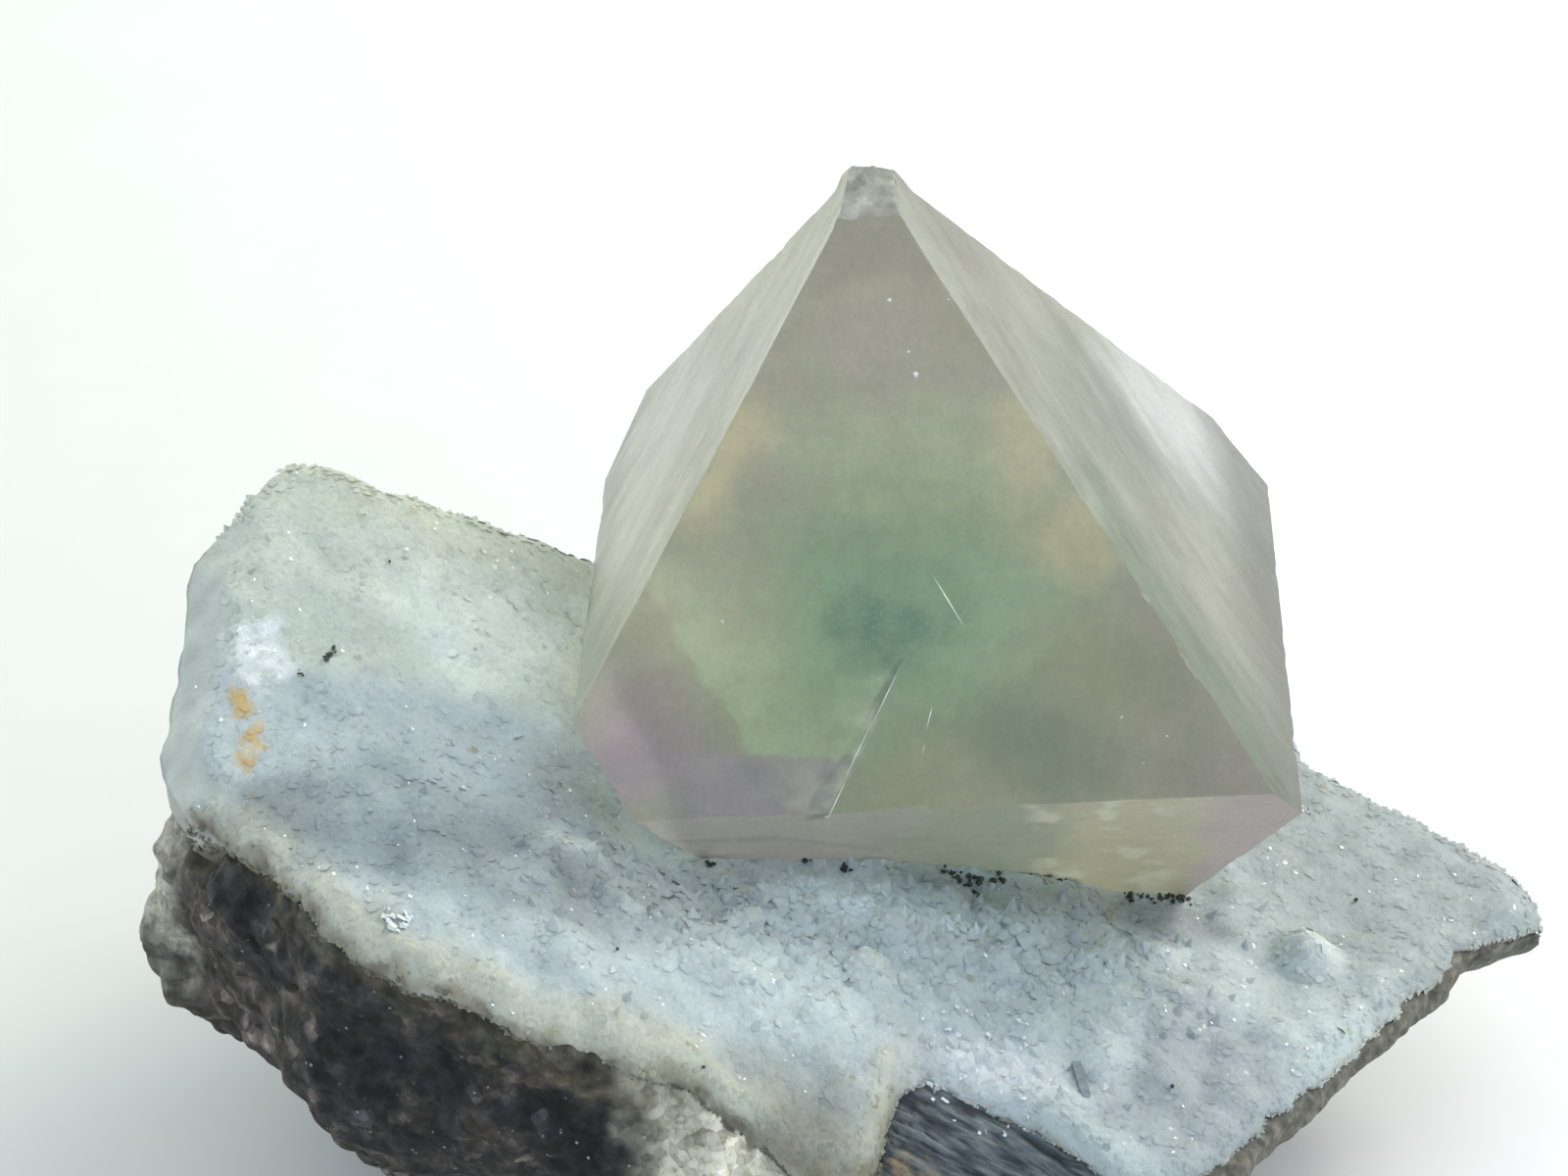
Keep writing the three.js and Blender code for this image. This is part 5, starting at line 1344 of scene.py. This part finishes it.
def build_grains():
    rng = np.random.default_rng(99)
    parts = []
    for x, y, size, count in ((-2.83, -13.3, 0.22, 6), (0.93, -12.9, 0.18, 4), (2.35, -13.1, 0.22, 6), (6.37, -12.6, 0.26, 9), (7.2, -12.8, 0.42, 18), (7.3, -13.2, 0.25, 7), (8.11, -12.5, 0.24, 6),
                              (9.78, -11.6, 0.24, 7), (10.4, -11.4, 0.3, 9), (13.39, -11.3, 0.26, 8), (14.21, -11.15, 0.26, 8), (15.0, -10.95, 0.3, 9), (15.5, -10.8, 0.22, 6)):
        for k in range(count):
            xy = np.array([[x, y]]) + rng.normal(size=(1, 2)) * size * np.array([0.85, 0.5])
            parts.append(lump(np.array([*xy[0], crust_top(xy)[0] + rng.uniform(0.02, 0.16)]), rng.uniform(0.05, 0.14), rng, rng.uniform(0.35, 1.6, 3)))
    for x, y, size, st in ((-17.42, -8.5, 0.13, (1.2, 1.4, 0.5)), (-17.3, -8.2, 0.15, (1.3, 1.6, 0.5)), (-17.18, -7.9, 0.1, (0.9, 2.0, 0.5)), (-17.5, -8.3, 0.08, (1.4, 1, 0.5)), (-17.1, -8.1, 0.07, (1, 1.3, 0.5)),
                           (-18.4, -9.03, 0.09, (1.4, 1, 0.5)), (-18.28, -9.1, 0.06, (1, 1.5, 0.5)), (-18.45, -8.9, 0.05, (1, 1, 0.5)), (-6.12, -20.14, 0.08, (1, 1, 1)),
                           (-2.93, -23.79, 0.09, (1, 1, 1)), (14.47, -21.06, 0.1, (1, 1, 1)), (22.56, -8.23, 0.1, (1, 1, 1)), (-15.2, -4.4, 0.07, (1, 1, 1))):
        xy = np.array([[x, y]])
        parts.append(lump(np.array([x, y, crust_top(xy)[0] + 0.1]), size, rng, st))
    ob = new_object("dark_grains", *joined(parts), plain_mineral("dark_grain", [(0.35, (0.008, 0.011, 0.009)), (0.65, (0.05, 0.06, 0.045))], 0.12, 0.5))
    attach(ob, "root")
    # white broken quartz: shards of the patch on the left, the flake at the front edge and the rough place at the front
    parts = []
    for c, r, count, big in (((-19.85, -8.2), 1.1, 9, 0.12), ((-14.1, -20.75), 0.55, 22, 0.3), ((7.6, -20.9), 2.4, 60, 0.2)):
        for k in range(count):
            a, q = rng.uniform(0, 2 * math.pi), r * math.sqrt(rng.uniform(0.05, 1))
            xy = np.array([[c[0] + q * math.cos(a), c[1] + q * math.sin(a)]])
            q3 = np.array([*xy[0], crust_top(xy)[0]])
            n = unit(unit(np.array([0.0, -168.2, 117.8]) - q3) + unit(LIGHT_DIRECTION * 700.0 - q3) + rng.normal(size=3) * 0.4)
            parts.append(flake(np.array([*xy[0], crust_top(xy)[0] + 0.1]), n, big * rng.uniform(0.4, 1.0), rng, 6, 0.07))
    ob = new_object("quartz_shards", *joined(parts), plain_mineral("quartz_shard", [(0.35, (0.76, 0.79, 0.79)), (0.65, (0.90, 0.92, 0.91))], 0.3, 0.25))
    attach(ob, "root")
    # bright crystal faces that catch the light
    parts = []
    eye = np.array([0.0, -168.2, 117.8])
    lamp = LIGHT_DIRECTION * 700.0
    while len(parts) < 190:
        xy = np.array([[rng.uniform(-22.5, 29), rng.uniform(-25.5, 6)]])
        d, _ = rim_distance(xy)
        if d[0] < 0.3:
            continue
        p = np.array([*xy[0], crust_top(xy)[0] + 0.13])
        if inside_crystal(p[None])[0] > -0.1:
            continue
        n = unit(unit(eye - p) + unit(lamp - p)) + rng.normal(size=3) * 0.022
        parts.append(flake(p, n, 0.05 + 0.075 * rng.uniform(0, 1) ** 2, rng, 5, 0.004))
    ob = new_object("quartz_glints", *joined(parts), plain_mineral("quartz_glint", [(0.35, (0.80, 0.84, 0.86)), (0.65, (0.92, 0.93, 0.94))], 0.2, 0.1))
    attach(ob, "root")
    # one grey bar-shaped crystal at the front
    xy = np.array([[11.05, -21.02]])
    up = surface_normals(xy)[0]
    c = np.array([*xy[0], crust_top(xy)[0] + 0.12])
    a, b = unit(np.array([-0.25, 0.9, 0.2])), None
    a = unit(a - up * (a @ up))
    b = np.cross(up, a)
    verts = np.array([c + sa * a * 0.75 + sb * b * 0.17 + sc * up * 0.14 for sa in (-1, 1) for sb in (-1, 1) for sc in (-1, 1)])
    tris = np.array([[0, 1, 3], [0, 3, 2], [4, 6, 7], [4, 7, 5], [0, 4, 5], [0, 5, 1], [2, 3, 7], [2, 7, 6], [0, 2, 6], [0, 6, 4], [1, 5, 7], [1, 7, 3]])
    ob = new_object("grey_bar", verts, tris, plain_mineral("grey_bar", [(0.35, (0.17, 0.2, 0.22)), (0.65, (0.30, 0.33, 0.35))], 0.3, 0.35))
    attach(ob, "root")


# ---- stage --------------------------------------------------------------------------------------------------


def build_stage():
    me = bpy.data.meshes.new("floor")
    s = 4.0
    me.from_pydata([(-s, -s, 0), (s, -s, 0), (s, s, 0), (-s, s, 0)], [], [(0, 1, 2, 3)])
    m = Nodes("paper")
    fibre = m.ramp(m.noise(6.0, 3), [(0.3, 0.985), (0.7, 1.0)])
    across = m.add("ShaderNodeVectorMath", operation="DOT_PRODUCT")
    m.link(m.mm, across.inputs[0])
    across.inputs[1].default_value = (0.012, 0.003, 0.0)
    # painted shade: the paper darker and yellower towards the front left, whitest towards the back right, as the light
    # falls off
    shade = m.ramp(m.math("ADD", across.outputs["Value"], 0.5, clamp=True), [(0.0, (0.80, 0.815, 0.755)), (0.4, (0.86, 0.87, 0.82)), (0.68, (0.97, 0.97, 0.955))])
    m.set(Base_Color=m.mix(1.0, shade, fibre, "MULTIPLY"), Roughness=0.9)
    me.materials.append(m.mat)
    floor = bpy.data.objects.new("floor", me)
    SCENE.collection.objects.link(floor)

    world = bpy.data.worlds.new("studio")
    SCENE.world = world
    world.use_nodes = True
    nt = world.node_tree
    nt.nodes.clear()
    out = nt.nodes.new("ShaderNodeOutputWorld")
    back = nt.nodes.new("ShaderNodeBackground")
    coord = nt.nodes.new("ShaderNodeTexCoord")
    dot = nt.nodes.new("ShaderNodeVectorMath")
    dot.operation = "DOT_PRODUCT"
    dot.inputs[1].default_value = unit((0.25, 0.75, 0.6))
    nt.links.new(coord.outputs["Generated"], dot.inputs[0])
    ramp = nt.nodes.new("ShaderNodeValToRGB")
    fac = nt.nodes.new("ShaderNodeMapRange")
    fac.inputs["From Min"].default_value = -1.0
    nt.links.new(dot.outputs["Value"], fac.inputs["Value"])
    nt.links.new(fac.outputs[0], ramp.inputs["Fac"])
    els = ramp.color_ramp.elements
    els[0].position, els[0].color = 0.25, (0.52, 0.645, 0.83, 1)
    els[1].position, els[1].color = 0.95, (0.98, 1.0, 0.98, 1)
    mid = els.new(0.6)
    mid.color = (0.73, 0.815, 0.91, 1)
    nt.links.new(ramp.outputs[0], back.inputs["Color"])
    back.inputs["Strength"].default_value = 1.05
    nt.links.new(back.outputs[0], out.inputs["Surface"])

    target = Vector((0.0, 0.0, 0.015))
    direction = Vector(unit(LIGHT_DIRECTION))
    key = bpy.data.lights.new("key", "AREA")
    key.shape = "DISK"
    key.size = 0.34
    key.energy = 2.2
    key.color = (1.0, 0.965, 0.87)
    ob = bpy.data.objects.new("key", key)
    ob.location = target + direction * 0.7
    ob.rotation_euler = direction.to_track_quat("Z", "Y").to_euler()
    SCENE.collection.objects.link(ob)

    point = bpy.data.lights.new("glint", "AREA")
    point.shape = "DISK"
    point.size = 0.06
    point.energy = 0.4
    point.color = (1.0, 0.98, 0.92)
    lamp = bpy.data.objects.new("glint", point)
    lamp.location = ob.location - direction * 0.02
    lamp.rotation_euler = ob.rotation_euler
    SCENE.collection.objects.link(lamp)

    cam = bpy.data.cameras.new("camera")
    cam.lens = 118.73
    cam.sensor_width = 36.0
    cam.clip_start = 0.005
    cam.clip_end = 20.0
    eye = bpy.data.objects.new("camera", cam)
    eye.location = (-0.00351, -0.162298, 0.137773)
    eye.rotation_euler = (math.radians(55), 0, 0)
    SCENE.collection.objects.link(eye)
    SCENE.camera = eye
    SCENE.view_settings.view_transform = "Standard"
    SCENE.view_settings.look = "None"


build_rock()
build_crust()
build_tips()
build_grains()
build_crystal()
cloud("green_zone_outer", 0.9, 1.4, 5.8, (9.6, 8.2), 9.0, zone_material("green_zone_outer", (1.0, 1.0, 1.0), (0.55, 0.84, 0.60), 50.0, 1.0), 301)
cloud("green_zone_inner", 0.5, 0.1, 4.2, (4.6, 3.3), 5.0, zone_material("green_zone_inner", (1.0, 1.0, 1.0), (0.38, 0.76, 0.66), 60.0, 1.0), 302)
build_inclusions()
build_stage()
